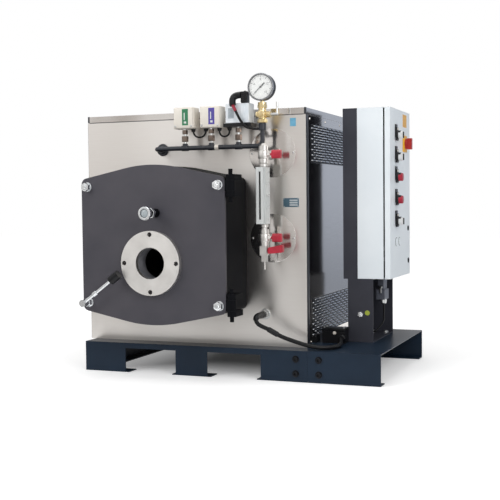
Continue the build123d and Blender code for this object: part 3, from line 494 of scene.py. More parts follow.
# Cover plates, data plate and label
# Round stainless plates close the openings around the two pipes of the level gauge, with two screws each.
# A blank anodised data plate is riveted on beside the gauge, and a blank film label sits under the cover.
cover_radius, cover_stand, cover_screw_reach = 95, 1.5, 85
cover_places = ((801, 878), (801, 546))
cover_profile = [(0, cover_radius), (1.1, cover_radius), (cover_stand, cover_radius - 1), (cover_stand, 0)]
cover_stainless = rolled_stainless("cover_plate_stainless", "#dad6d2", "#d5d0cc", 0.16, 0.6)
make_piece("gauge_cover_plates", cover_stainless, [
    ((x, panel_low.y, z), to_front, cover_profile, 96) for x, z in cover_places
])
cover_screws = [
    (x + step, panel_low.y - cover_stand, z) for x, z in cover_places
    for step in (-cover_screw_reach, cover_screw_reach)
]
fasteners("cover_plate_screws", cover_screws, to_front, pan_head, 16, zinc)


def printed_film(name, light, shade, roughness=0.38):
    """Printed film or anodised plate: flat colour under a satin coat, with small changes of tone."""
    material, tree, where = start_material(name)
    tone, drift = clouded(tree, where, light, shade, 14, 2.0)
    bump = relief(tree, drift, 0.05, 0.2)
    return close_material(material, {"Base Color": tone, "Roughness": roughness, "Normal": bump})


plate_left, plate_right, plate_foot, plate_top = 844, 908, 667, 702
plate_front, plate_back = 83.9, 85.2
data_film = printed_film("anodised_data_plate", "#4a6878", "#3f5b6a")
make_piece("data_plate", data_film, blocks=[
    ((plate_left, plate_front, plate_foot), (plate_right, plate_back, plate_top), 0.4),
])
field_film = printed_film("bare_plate_fields", "#b9bfc2", "#a9b0b4")
field_feet = [plate_foot + 5 + row * 9 for row in range(3)]
make_piece("data_plate_fields", field_film, blocks=[
    ((plate_left + 26, plate_front - 0.2, z), (plate_right - 5, plate_front + 0.1, z + 6), 0.1, 1)
    for z in field_feet
])
rivet_x, rivet_z = (plate_left + 3, plate_right - 3), (plate_foot + 3, plate_top - 3)
plate_rivets = [(x, plate_front, z) for x in rivet_x for z in rivet_z]
rivet = [(0, 1.8), (0.5, 1.7), (0.9, 1.2), (1.0, 0)]
fasteners("data_plate_rivets", plate_rivets, to_front, rivet, 12, zinc)
label_film = printed_film("blue_label_film", "#6fb0cf", "#5fa3c4")
make_piece("blank_label", label_film, blocks=[((874, 84.7, 979), (898, 85.1, 1011), 0.1, 1)])

# Front box, vessel and lining
# Welded boiler plate under black heat-resisting paint, with mill scale on the pieces inside.
# The door carries a block of pale cast refractory that closes the box against the flame.
box_paint = coated_steel(
    "black_heat_paint", "#08090e", "#05060a", 0.6, peel_mm=2.0, peel=0.14, cloud_mm=120, gloss_level=0.08,
)
scale_steel = coated_steel(
    "mill_scale_steel", "#4d4945", "#37332f", 0.62, peel_mm=4.0, peel=0.3, cloud_mm=45,
)
dress(box_paint, "front_box", "hinge_brackets", "door_hinge_lugs")
dress(scale_steel, "tube_plates", "vessel_shell", "furnace_tube", "smoke_tubes")


def cast_refractory(name):
    """Cast refractory concrete: pale, gritty, with small pores and darker grains."""
    material, tree, where = start_material(name)
    tone = clouded(tree, where, "#c6baa6", "#9c8e7b", 60, 6.0)[0]
    grains = add(tree, "ShaderNodeTexVoronoi", {"Vector": where, "Scale": 1000 / 6})
    bump = relief(tree, grains, 0.5, 1.0)
    return close_material(material, {"Base Color": tone, "Roughness": 0.92, "Normal": bump})


dress(cast_refractory("cast_refractory"), "door_lining")

# Furnace door
# A 12 mm plate with arched edges under dark satin paint, hung on two hinges. Plated screws clamp its corners.
# A faced steel flange for the burner is welded on, and a steel sleeve lines the throat behind it.
door_body = "furnace_door"
door_low, door_high = extent("door_plate")
burner = centre_of("burner_flange")
door_paint = coated_steel(
    "dark_door_paint", "#48464c", "#3f3e45", 0.45, peel_mm=2.0, peel=0.12, cloud_mm=160, gloss_level=0.3,
)
dress(door_paint, "door_plate")


def faced_steel(name, light, shade, centre, pitch_mm):
    """Steel faced on a lathe: rings about its axis that catch the light."""
    material, tree, where = start_material(name)
    centred = add(tree, "ShaderNodeMapping", {"Vector": where, "Location": [-value for value in centre]})
    rings = add(tree, "ShaderNodeTexWave", {
        "Vector": centred, "Scale": 50 / pitch_mm, "Distortion": 0.4, "Detail": 1.0,
    }, wave_type="RINGS", rings_direction="Y")
    tone, drift = clouded(tree, where, light, shade, 70, 5.0)
    gloss = spread(tree, drift, 0.36, 0.5)
    bump = relief(tree, rings.outputs["Fac"], 0.15, 0.4, 1.0)
    return close_material(material, {
        "Base Color": tone, "Metallic": 1.0, "Roughness": gloss, "Normal": bump,
    })


flange_centre = spot(burner.x, extent("burner_flange")[0].y, burner.z)
dress(faced_steel("faced_flange_steel", "#e9e7e4", "#dbd9d6", flange_centre, 2.4), "burner_flange")
throat_bore, throat_outer = 61.0, 62.6
throat_length = extent("door_lining")[1].y - door_low.y
throat_profile = [
    (0, throat_bore), (throat_length, throat_bore), (throat_length, throat_outer), (0, throat_outer),
    (0, throat_bore),
]
throat_steel = coated_steel("limed_throat_steel", "#7d7d82", "#66666b", 0.5, peel_mm=2.0, cloud_mm=30)
make_piece("throat_sleeve", throat_steel, [
    ((burner.x, door_low.y, burner.z), to_back, throat_profile, 72),
], body=door_body)

# Corner screws and lever
# Plated hexagon screws with washers. The lower left one has a boss with a bright lever and a black knob.
nuts_low, nuts_high = extent("door_nuts")
screw_x = (door_low.x + 26, door_high.x - 26)
screw_z = (nuts_low.z + 17.3, nuts_high.z - 17.3)
screw_height = 22
bright_steel = plated_steel("bright_screw_steel", "#f2f4f6", "#dfe3e6", 0.2)
dress(bright_steel, "door_nuts", "door_lever")
corner_places = [(x, door_low.y, z) for x in screw_x for z in screw_z]
washer = [(0, 18.6), (2.0, 19), (2.8, 18.5), (2.8, 10)]
fasteners("door_washers", corner_places, to_front, washer, 40, bright_steel, door_body)
crown_places = [(x, y - screw_height, z) for x, y, z in corner_places[1:]]
crown = [(0, 14.2), (1.6, 11.5), (1.6, 8), (5.0, 7.6), (6.0, 6.4), (6.0, 0)]
fasteners("door_screw_crowns", crown_places, to_front, crown, 32, bright_steel, door_body)


def moulded_plastic(name, light, shade, roughness, grain_mm=0.9, gloss_level=0.5):
    """Injection-moulded plastic: even colour and gloss, fine spark-eroded grain."""
    grain = (grain_mm, 1.0, 0.12, 0.2)
    extra = {"Specular IOR Level": gloss_level}
    return surface(name, light, shade, (roughness, roughness), (30, 2.0), grain, 0.8, extra)


black_plastic = moulded_plastic("black_phenolic", "#101115", "#0b0c0f", 0.32, gloss_level=0.3)
dress(black_plastic, "lever_knob")

# Sight tube
# A dark tube welded to the door, with a bright hexagon collar and a polished ring that holds a thick glass.
sight = centre_of("sight_tube")
sight_front = extent("sight_tube")[0].y
dress(box_paint, "sight_tube")


def collar(bore, radius, length, run, drop):
    """Profile of a ring with its outer edges broken: so far along the axis, and so much less radius."""
    return [
        (0, bore), (0, radius - drop), (run, radius), (length - run, radius), (length, radius - drop),
        (length, bore),
    ]


ring_profile = [
    (0, 23.2), (0, 25), (2, 26), (13, 26), (15.5, 24.5), (16.5, 21), (15.5, 17.2), (12, 16.2), (7, 16.2),
]
make_piece("sight_ring", bright_steel, [
    ((sight.x, sight_front + 13, sight.z), to_front, ring_profile, 48),
    ((sight.x, sight_front + 58, sight.z), to_front, collar(17, 21.2, 18, 1.2, 1.8), 6),
], body=door_body)
glass_profile = [(0, 0), (0, 15.6), (3.6, 15.6), (4.4, 13), (4.8, 6), (5, 0)]
sight_smoke = moulded_plastic("smoked_sight_glass", "#b4bcbf", "#7f8a8f", 0.1, 6.0)
make_piece("sight_glass", sight_smoke, [
    ((sight.x, sight_front + 5.5, sight.z), to_front, glass_profile, 48),
], body=door_body)

# Pressure manifold
# Black-painted steel pipe from a rosette on the casing to the gauge, with a tee sleeve under each stem.
# Hexagon unions lock the stems, and a pale plastic clip holds a cable to the pipe.
pipe_y, pipe_z, pipe_radius = 14, 903, 9
pipe_left, pipe_right = 327, extent("manifold_pipe")[1].x - pipe_radius
stem_low, stem_high = extent("switch_stems")
stem_x = (stem_low.x + 11, 573, stem_high.x - 11)
pipe_paint = coated_steel("black_pipe_paint", "#262a32", "#1e2128", 0.35, peel_mm=1.5, edge_mm=0.5)
dress(pipe_paint, "manifold_pipe")
dress(zinc, "switch_stems", "hose_fitting")
tee = collar(pipe_radius, 11.2, 30, 1.5, 1.2)
tee_neck = [(0, 10.5), (17, 10.5), (18, 9.5), (18, 6)]
gauge_tee = [(0, pipe_radius), (0, 13), (1.5, 14.5), (26, 14.5), (28, 13), (28, pipe_radius)]
rosette = [(0, 24), (3, 24.8), (6.4, 23), (7.4, 16), (13, 15), (14, 13.5), (14, 9)]
make_piece("manifold_tees", pipe_paint, [
    *[((x - 15, pipe_y, pipe_z), to_right, tee, 32) for x in stem_x],
    *[((x, pipe_y, pipe_z), upward, tee_neck, 32) for x in stem_x],
    ((pipe_right, pipe_y, extent("gauge_cock")[0].z - 30), upward, gauge_tee, 32),
    ((pipe_left, panel_low.y, pipe_z), to_front, rosette, 48),
])
lower_union = [(0, 10), (0, 12.4), (1, 13.4), (21, 13.4), (22, 12.4), (22, 6)]
upper_union = collar(6, 11, 16, 1, 1)
union_steel = plated_steel("bronzed_union_steel", "#8f8177", "#6d6159", 0.32)
unions = ((928, lower_union), (958, upper_union))
make_piece("stem_unions", union_steel, [
    ((x, pipe_y, z), upward, profile, 6) for x in stem_x for z, profile in unions
])
pale_plastic = moulded_plastic("pale_grey_abs", "#e0dad0", "#d8d2c8", 0.42)
make_piece("pipe_clip", pale_plastic, [
    ((589, pipe_y, pipe_z), to_right, collar(9.2, 11.2, 16, 0.8, 0.6), 32),
], [
    ((591, pipe_y - 16, pipe_z - 3), (603, pipe_y - 10, pipe_z + 5), 1.0),
])

# Pressure switches
# Pale moulded housings with a screwed front lid. Each lid has a plain coloured scale label.
# Black glands take the cable loops at the bottom.
switch_low, switch_high = extent("pressure_switches")
switch_width, lid_rim = 86, 2.5
switch_left = (switch_low.x, switch_high.x - switch_width)
lid_front, lid_back = switch_low.y - 2.5, switch_low.y + 1
lid_foot, lid_top = switch_low.z + lid_rim, switch_high.z - lid_rim
dress(pale_plastic, "pressure_switches")
make_piece("switch_lids", pale_plastic, blocks=[
    ((x + lid_rim, lid_front, lid_foot), (x + switch_width - lid_rim, lid_back, lid_top), 2.0, 3)
    for x in switch_left
])
lid_screws = [(x + step, lid_front, switch_low.z + 10) for x in switch_left for step in (9, switch_width - 9)]
fasteners("lid_screws", lid_screws, to_front, pan_head, 16, zinc)
label_tones = (("green", "#1f7a50", "#1a6c46"), ("violet", "#4c3f9a", "#43378b"))
label_foot, label_top = switch_low.z + 13, switch_high.z - 7
window_sizes = (
    (46, 56, switch_low.z + 20, switch_low.z + 28), (46, 50, switch_low.z + 34, switch_high.z - 22),
)
for left, (tone_name, light, shade) in zip(switch_left, label_tones):
    film = printed_film(tone_name + "_label_film", light, shade)
    make_piece(tone_name + "_scale_label", film, blocks=[
        ((left + 38, lid_front - 0.3, label_foot), (left + 64, lid_front + 0.1, label_top), 0.1, 1),
    ])
    window_film = printed_film(tone_name + "_label_window", "#d8dcd8", "#c6cbc6")
    make_piece(tone_name + "_label_window", window_film, blocks=[
        ((left + start, lid_front - 0.5, foot), (left + end, lid_front, top), 0.1, 1)
        for start, end, foot, top in window_sizes
    ])
rubber = moulded_plastic("black_rubber_sheath", "#0d0e11", "#08090b", 0.45, 1.6, gloss_level=0.25)
dress(rubber, "switch_cable_loops", "limiter_lead", "connector_lead")
loop_y = centre_of("switch_cable_loops").y
gland_places = [(x, loop_y, switch_low.z) for x in (489, 544, 602, 644)]
gland_profile = [(0, 9), (0, 9.6), (5, 9.6), (5.4, 8.4), (9, 8), (12, 6.4), (12, 3.5)]
fasteners("cable_glands", gland_places, downward, gland_profile, 24, black_plastic)

# Limiter
# A clear-grey ribbed housing on a black flange. A black plug on top feeds a sheathed lead with a red sleeve.
box_low, box_high = extent("limiter_box")
plug_low, plug_high = extent("limiter_plug")
base_low, base_high = extent("limiter_base")
smoke_plastic = moulded_plastic("pale_blue_grey_housing", "#e6eaee", "#d8dfe5", 0.25)
dress(smoke_plastic, "limiter_box")
dress(black_plastic, "limiter_base", "limiter_plug")
rib_starts = [box_high.x - 34 + step * 7 for step in range(5)]
make_piece("limiter_ribs", smoke_plastic, blocks=[
    *[((x, box_low.y - 1.6, box_low.z + 8), (x + 3, box_low.y + 1, box_high.z - 8), 0.7) for x in rib_starts],
    ((box_low.x + 8, box_low.y - 1.4, box_low.z + 12), (box_low.x + 40, box_low.y + 1, box_high.z - 10), 1.2),
])
scale_film = printed_film("limiter_scale_window", "#a9b2b8", "#8f99a0", 0.2)
make_piece("limiter_scale_window", scale_film, blocks=[
    ((box_low.x + 12, box_low.y - 2, box_low.z + 18), (box_low.x + 36, box_low.y - 1, box_high.z - 18), 0.4),
])
flange_x, flange_y = (base_low.x + 5, base_high.x - 5), (base_low.y + 8, base_high.y - 8)
base_screws = [(x, y, base_high.z) for x in flange_x for y in flange_y]
fasteners("limiter_screws", base_screws, upward, pan_head, 16, zinc)


def round_line(name, route, radius, roundness):
    """A smooth round line through the air, as a curve with its route and radius in millimetres."""
    line = bpy.data.curves.new(name, "CURVE")
    line.dimensions = "3D"
    line.bevel_depth = radius / 1000
    line.bevel_resolution = roundness
    line.use_fill_caps = True
    spline = line.splines.new("NURBS")
    spline.points.add(len(route) - 1)
    for knot, place in zip(spline.points, route):
        knot.co = (*spot(*place), 1.0)
    spline.order_u = 3
    spline.use_endpoint_u = True
    return link_object(name, line)


def sheathed(name, route, radius, material):
    """A short sleeve along a smooth line, as a plain mesh."""
    mesh = baked_mesh(name, round_line(name, route, radius, 5))
    mesh.materials.clear()
    mesh.materials.append(material)
    place_piece(name, mesh, frame_body)


boot_route = ((plug_low.x, 4, 1100), (678, 4, 1100), (671, -11, 1078), (677, -14.5, 1060))
sheathed("limiter_boot", boot_route, 13.0, black_plastic)
sleeve_route = ((675, -14.4, 1063), (680, -14.8, 1053), (688, -15, 1038))
red_sleeve = moulded_plastic("red_cable_sleeve", "#a3253a", "#8e1f32", 0.4)
sheathed("limiter_sleeve", sleeve_route, 6.3, red_sleeve)
plug = centre_of("limiter_plug")
plug_button = [(-1, 5), (1.2, 5), (2.4, 4.4), (3.0, 3), (3.0, 0)]
ridge_feet = [plug_low.z + 8 + step * 8 for step in range(4)]
make_piece("plug_ridges", black_plastic, [
    ((plug.x, plug.y, plug_high.z), upward, plug_button, 24),
], [
    ((plug_low.x + 3, plug_low.y - 1.2, z), (plug_high.x - 3, plug_low.y + 1, z + 4), 0.6) for z in ridge_feet
])

# Pressure gauge
# A 100 mm gauge with a rolled steel bezel over a black case. White dial with plain marks and numbers.
# A black pointer stands low on the scale, under flat glass.
gauge = centre_of("gauge_case")
case_low, case_high = extent("gauge_case")
dial_low, dial_high = extent("gauge_dial")
gauge_radius = (case_high.x - case_low.x) / 2
dial_radius = (dial_high.x - dial_low.x) / 2
dial_front = dial_low.y
dress(black_plastic, "gauge_case")
dress(printed_film("white_dial", "#f0f0ee", "#e8e8e6"), "gauge_dial")
bezel_steps = ((0, 0), (0, 1.2), (7, 1.2), (9.4, -0.2), (10, -2.4), (9.4, -4.4), (6.5, -5.2))
bezel_profile = [(distance, gauge_radius + step) for distance, step in bezel_steps]
bezel_steel = plated_steel("rolled_bezel_steel", "#a4a6aa", "#84868a", 0.22)
make_piece("gauge_bezel", bezel_steel, [
    ((gauge.x, case_low.y + 9, gauge.z), to_front, bezel_profile, 96),
])

mark_tree, given = open_tree("dial_marks", "Marks", {
    "Marks": "Int", "Circle": "Float", "Length": "Float", "Width": "Float", "Start": "Float",
    "Sweep": "Float", "Centre": "Vector", "Finish": "Material",
})
mark_points = add(mark_tree, "GeometryNodeMeshLine", {"Count": given["Marks"]})
mark_number = add(mark_tree, "GeometryNodeInputIndex")
last_mark = maths(mark_tree, "SUBTRACT", given["Marks"], 1.0)
mark_share = maths(mark_tree, "DIVIDE", mark_number, last_mark)
mark_angle = maths(mark_tree, "MULTIPLY_ADD", mark_share, given["Sweep"], given["Start"])
mark_cos = maths(mark_tree, "COSINE", mark_angle)
mark_sin = maths(mark_tree, "SINE", mark_angle)
mark_way = add(mark_tree, "ShaderNodeCombineXYZ", {"X": mark_cos, "Z": mark_sin})
mark_out = add(mark_tree, "ShaderNodeVectorMath", {0: mark_way, "Scale": given["Circle"]}, operation="SCALE")
mark_place = add(mark_tree, "ShaderNodeVectorMath", {0: mark_out, 1: given["Centre"]}, operation="ADD")
marks_set = add(mark_tree, "GeometryNodeSetPosition", {"Geometry": mark_points, "Position": mark_place})
mark_size = add(mark_tree, "ShaderNodeCombineXYZ", {
    "X": given["Length"], "Y": 0.0003, "Z": given["Width"],
})
mark_shape = add(mark_tree, "GeometryNodeMeshCube", {"Size": mark_size})
mark_lean = maths(mark_tree, "MULTIPLY", mark_angle, -1.0)
mark_turn = add(mark_tree, "ShaderNodeCombineXYZ", {"Y": mark_lean})
marks_made = add(mark_tree, "GeometryNodeInstanceOnPoints", {
    "Points": marks_set, "Instance": mark_shape, "Rotation": mark_turn,
})
close_tree(mark_tree, marks_made, given["Finish"])

dial_ink = printed_film("black_dial_ink", "#1b1c1f", "#131416")
scale_start, scale_sweep = radians(225), radians(-270)
mark_sets = (("fine_marks", 49, 3.4, 0.8, 0.89), ("main_marks", 9, 7.0, 1.7, 0.85))
for mark_name, count, length, width, reach in mark_sets:
    values = {
        "Marks": count, "Circle": dial_radius * reach / 1000, "Length": length / 1000, "Width": width / 1000,
        "Start": scale_start, "Sweep": scale_sweep, "Centre": spot(gauge.x, dial_front, gauge.z),
        "Finish": dial_ink,
    }
    holder = link_object(mark_name + "_points", bpy.data.meshes.new(mark_name + "_points"))
    run_tree(mark_name, holder, mark_tree, values)
number_reach, number_height, number_count, number_step = dial_radius * 0.62, 0.0125, 5, 4
numbers = bmesh.new()
for step in range(number_count):
    text = bpy.data.curves.new("dial_number", "FONT")
    text.body = str(step * number_step)
    text.size = number_height
    text.align_x = "CENTER"
    text.align_y = "CENTER"
    text.extrude = 0.0001
    figure = baked_mesh("dial_number", link_object("dial_number", text))
    angle = scale_start + scale_sweep * step / (number_count - 1)
    out_x, out_z = number_reach * cos(angle), number_reach * sin(angle)
    number_place = spot(gauge.x + out_x, dial_front - 0.1, gauge.z + out_z)
    figure.transform(Matrix.Translation(number_place) @ Matrix.Rotation(radians(90), 4, "X"))
    numbers.from_mesh(figure)
    bpy.data.meshes.remove(figure)
finish_piece("dial_numbers", numbers, dial_ink)

pointer_angle, pointer_thickness = radians(222), Vector((0, 0.0005, 0))
pointer_way = Vector((cos(pointer_angle), 0, sin(pointer_angle)))
pointer_side = Vector((-sin(pointer_angle), 0, cos(pointer_angle)))
pointer_root = spot(gauge.x, dial_front - 1.0, gauge.z)
half_outline = ((-22, 2.6), (-4, 2.8), (0, 2.4), (37, 0.8))
pointer_outline = [*half_outline, *[(reach, -side) for reach, side in reversed(half_outline)]]
pointer_points = [
    pointer_root + (pointer_way * reach + pointer_side * side) / 1000 for reach, side in pointer_outline
]
pointer = bmesh.new()
pointer_front = [pointer.verts.new(point - pointer_thickness) for point in pointer_points]
pointer_back = [pointer.verts.new(point) for point in pointer_points]
join_rings(pointer, [pointer_front, pointer_back], capped=True)
turned(pointer, spot(gauge.x, dial_front, gauge.z), to_front, [(0, 4), (2.2, 4), (2.8, 3), (2.8, 0)], 24)
finish_piece("gauge_pointer", pointer, dial_ink)


def clear_glass(name, tint, roughness):
    """Flat float glass: clear, with a trace of waviness that only shows in reflections."""
    material, tree, where = start_material(name)
    bump = relief(tree, noise(tree, where, 60, 1.0), 0.03, 0.4)
    return close_material(material, {
        "Base Color": linear(tint), "Roughness": roughness, "IOR": 1.45, "Alpha": 0.12, "Normal": bump,
    })


lens_radius, lens_thickness = gauge_radius - 5.4, 1.4
lens_profile = [(0, 0), (0, lens_radius), (lens_thickness, lens_radius), (lens_thickness, 0)]
gauge_glass = clear_glass("gauge_window_glass", "#f4f7f7", 0.02)
make_piece("gauge_glass", gauge_glass, [
    ((gauge.x, case_low.y + 2.4, gauge.z), to_front, lens_profile, 96),
])

# Gauge cock
# A cast brass cock with a turned hexagon union under the gauge and a small steel lever on its plug.
cock_low, cock_high = extent("gauge_cock")
brass = plated_steel("turned_brass", "#e6d8b4", "#d2b983", 0.26)
dress(brass, "gauge_cock")
dress(zinc, "gauge_cock_lever")
cock_rounds = []
for low_z, height, flats in ((cock_low.z - 1, 14, 19.5), (cock_high.z - 28, 13, 18.5)):
    union = [(0, flats - 4), *collar(8, flats, height, 1.2, 1.2)[1:]]
    cock_rounds.append(((gauge.x, pipe_y, low_z), upward, union, 6))
plug_cap = [(0, 14), (2, 17), (9, 17), (11, 15), (11.5, 11), (14, 10), (14.5, 8), (14.5, 0)]
cock_rounds.append(((gauge.x, pipe_y - 12, 1022), to_front, plug_cap, 8))
make_piece("gauge_cock_trim", brass, cock_rounds)

# Level gauge
# Two turned cocks carry a flat reflex gauge: a pale enamelled body and cover, clamped on a strip of dark
# glass. Ring nuts join the cocks to it. Red plastic grips turn the cocks, and a red paddle the drain.
reflex_low, reflex_high = extent("level_gauge_body")
level_x, level_y = centre_of("level_gauge_body").x, -2
cocks_top = extent("level_cocks")[1].z
enamel = coated_steel("pale_enamel", "#cbcecd", "#c6c9c8", 0.3, peel_mm=2.5, edge_mm=1.5)
dress(enamel, "level_gauge_body")
nickel = plated_steel("satin_nickel_casting", "#dcdad7", "#c3c1be", 0.34)
dress(nickel, "level_cocks")
dress(moulded_plastic("dark_reflex_glass", "#0e1012", "#08090b", 0.08, 4.0), "level_gauge_glass")
red_plastic = moulded_plastic("red_handle_plastic", "#b81d36", "#a3182e", 0.35)
dress(red_plastic, "upper_cock_handle", "lower_cock_handle", "drain_handle")
ring_nuts = ((reflex_low.z - 13, 12), (reflex_high.z + 2, 13), (cocks_top - 10, 9))
top_plug = [(-1, 15), (4, 15), (6, 13.5), (6, 8), (10, 8), (11, 7), (11, 0)]
cock_barrel = [
    (0, 12), (2, 15), (9, 16.5), (11, 20), (15, 21.5), (36, 21.5), (40, 20), (42, 16.5), (49, 15), (52, 12),
]
wall_nut = [(0, 13), (0, 17.5), (1.5, 19), (14, 19), (16, 17.5), (16, 13)]
packing_nut = collar(5.2, 11.5, 9, 1, 1)
nut_rounds = [
    ((level_x, level_y, z), upward, collar(12, 16.5, height, 1.5, 1.5), 12) for z, height in ring_nuts
]
nut_rounds.append(((level_x, level_y, cocks_top), upward, top_plug, 6))
for cock_z in (869, 551):
    nut_rounds.append(((level_x, level_y, cock_z - 26), upward, cock_barrel, 32))
    nut_rounds.append(((level_x, panel_low.y - 18, cock_z), to_back, wall_nut, 6))
    nut_rounds.append(((level_x + 19, level_y, cock_z), to_right, packing_nut, 6))
make_piece("level_ring_nuts", nickel, nut_rounds)
clamp_nut = [(0, 5.2), (0.4, 5.8), (2.2, 5.8), (2.8, 5.2), (2.8, 2.6), (1.4, 2.4), (1.4, 0)]
clamp_places = [
    (y, reflex_low.z + 18 + step * 45) for step in range(5) for y in (reflex_low.y + 22, reflex_low.y + 45)
]
clamp_sides = (
    ("reflex_clamp_nuts", reflex_high.x, to_right), ("reflex_clamp_heads", reflex_low.x, to_left),
)
for clamp_name, x, outward in clamp_sides:
    places = [(x, y, z) for y, z in clamp_places]
    fasteners(clamp_name, places, outward, clamp_nut, 6, zinc)
grip_end = [(-1, 8), (0.8, 7.6), (1.4, 6), (1.4, 0)]
for handle_name in ("upper_cock_handle", "lower_cock_handle"):
    grip_low, grip_high = extent(handle_name)
    rib_starts = [grip_high.x - 29 + step * 7 for step in range(4)]
    rib_faces = (grip_low.y - 0.9, grip_high.y - 0.6)
    make_piece(handle_name + "_ribs", red_plastic, [
        ((grip_high.x, level_y, centre_of(handle_name).z), to_right, grip_end, 24),
    ], [
        ((x, y, grip_low.z + 9), (x + 3.4, y + 1.5, grip_high.z - 9), 0.6)
        for x in rib_starts for y in rib_faces
    ], body=handle_name + "_body")

# Feed hose
# A black rubber hose from a fitting on the casing to the terminal box, in one loose curve over the platform.
# A moulded elbow turns it down at the fitting, and a ribbed coupling joins it.
fitting_x, fitting_z = 765, 247
hose_points = (
    (fitting_x, 49, fitting_z), (fitting_x, 24, fitting_z), (761, 1, 247), (761, -13, 234), (771, -16, 219),
    (788, -11, 209), (810, -4, 199), (835, 4, 183), (867, 11, 167), (912, 17, 152), (958, 20, 139),
    (1001, 26.5, 131.5), (1036.5, 52, 129.5), (1056, 90.5, 129.5), (1056, 134, 130.5), (1049, 172, 135),
    (1036, 207, 142), (1036, 240, 142),
)
hose_length, hose_diameter = 0.573, 0.016
hose = round_line("feed_hose_rubber", hose_points, hose_diameter * 500, 6)
hose.data.materials.append(rubber)
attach(hose, frame_body)
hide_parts("feed_hose")


def hose_run(first, last, steps=8):
    """Middle line of the hose beside some of its control points, as the spline rounds them."""
    places = [Vector(place) for place in hose_points]
    run = []
    for index in range(first, last + 1):
        here = places[index]
        start = places[0] if index == 1 else (places[index - 1] + here) / 2
        end = (here + places[index + 1]) / 2
        for step in range(steps):
            share = step / steps
            run.append(start.lerp(here, share).lerp(here.lerp(end, share), share))
    return run


def sleeve(shape, run, radii, sides=32):
    """Adds a closed tube about a middle line in millimetres, with a radius for each of its points."""
    side = (run[1] - run[0]).orthogonal()
    turns = [2 * pi * step / sides for step in range(sides)]
    rings = []
    for index, radius in enumerate(radii):
        along = (run[min(index + 1, len(run) - 1)] - run[max(index - 1, 0)]).normalized()
        side = (side - along * side.dot(along)).normalized()
        across = along.cross(side)
        rim = [run[index] + (side * cos(turn) + across * sin(turn)) * radius for turn in turns]
        rings.append([shape.verts.new(spot(*place)) for place in rim])
    join_rings(shape, rings, capped=True)


hose_sleeves = bmesh.new()
elbow_radii = [13.6, 13.6, 13.6] + [12.6 - 0.1 * step for step in range(16)] + [10.6, 9.0]
sleeve(hose_sleeves, hose_run(1, 3)[:21], elbow_radii)
coupling_radii = [8.3, 10.2] + [10.9, 10.3] * 4 + [10.9, 10.2, 8.3]
sleeve(hose_sleeves, hose_run(6, 7)[3:16], coupling_radii)
hose_joints = finish_piece("hose_sleeves", hose_sleeves, black_plastic)
spot(*hose_points[0])
washer_profile = [(0, 12), (0, 20), (1, 21), (3, 21), (3, 12)]
make_piece("fitting_washer", zinc, [
    ((fitting_x, panel_low.y - 3, fitting_z), to_back, washer_profile, 40),
])

# Terminal box
# A black moulded box on the platform with a screwed lid. The hose goes in through a nut at the front.
# A small white cap closes its second entry.
terminal_low, terminal_high = extent("terminal_box")
dress(black_plastic, "terminal_box")
lid_lap, lid_rise = 1.2, 1.5
lid_corner = (terminal_low.x - lid_lap, terminal_low.y - lid_lap, terminal_high.z - 12)
lid_end = (terminal_high.x + lid_lap, terminal_high.y + lid_lap, terminal_high.z + lid_rise)
hose_nut = [(0, 8.2), (0, 13), (1, 14), (12, 14), (14, 12), (18, 10.5), (18, 8.2)]
make_piece("terminal_lid", black_plastic, [
    ((1036, terminal_low.y, 142), to_front, hose_nut, 12),
], [
    (lid_corner, lid_end, 1.5),
])
lid_x, lid_y = (terminal_low.x + 7, terminal_high.x - 7), (terminal_low.y + 7, terminal_high.y - 7)
terminal_screws = [(x, y, terminal_high.z + lid_rise) for x in lid_x for y in lid_y]
fasteners("terminal_screws", terminal_screws, upward, pan_head, 16, zinc)
cap_profile = [(0, 6), (0, 7), (3, 7), (4, 6), (11, 5.4), (12.5, 4), (12.5, 0)]
make_piece("terminal_entry_cap", pale_plastic, [
    ((1002, terminal_low.y, 161), to_front, cap_profile, 24),
])

# Stand
# Folded dark painted sheet: a pedestal open to the right, and a channel behind the cabinet.
# An earth stud with a plated nut and a plain round label sit on the pedestal's face.
stand_front = extent("cabinet_stand")[0].y
stand_paint = coated_steel("dark_stand_paint", "#3b3c44", "#32333b", 0.4, edge_mm=1.2, gloss_level=0.25)
dress(stand_paint, "cabinet_stand")
stud_profile = [
    (0, 11), (1.5, 11), (1.6, 8.4), (7, 8.4), (7.6, 7.6), (7.6, 4), (13, 4), (13.8, 3.2), (13.8, 0),
]
make_piece("earth_stud", bright_steel, [
    ((1092, stand_front, 232), to_front, stud_profile, 6),
])
disc_profile = [(0, 10), (0.4, 10), (0.5, 9.6), (0.5, 0)]
earth_film = printed_film("yellow_green_disc", "#a9b53c", "#9aa634")
make_piece("earth_disc", earth_film, [
    ((1121, stand_front, 239), to_front, disc_profile, 40),
])
foot_bolts = [(x, stand_front + step, 123) for x in (1064, 1122) for step in (30, 310)]
stand_bolt = [(0, 11), (1.5, 11), (1.6, 9), (7, 9), (8, 8), (8, 0)]
fasteners("stand_foot_bolts", foot_bolts, upward, stand_bolt, 6, zinc)

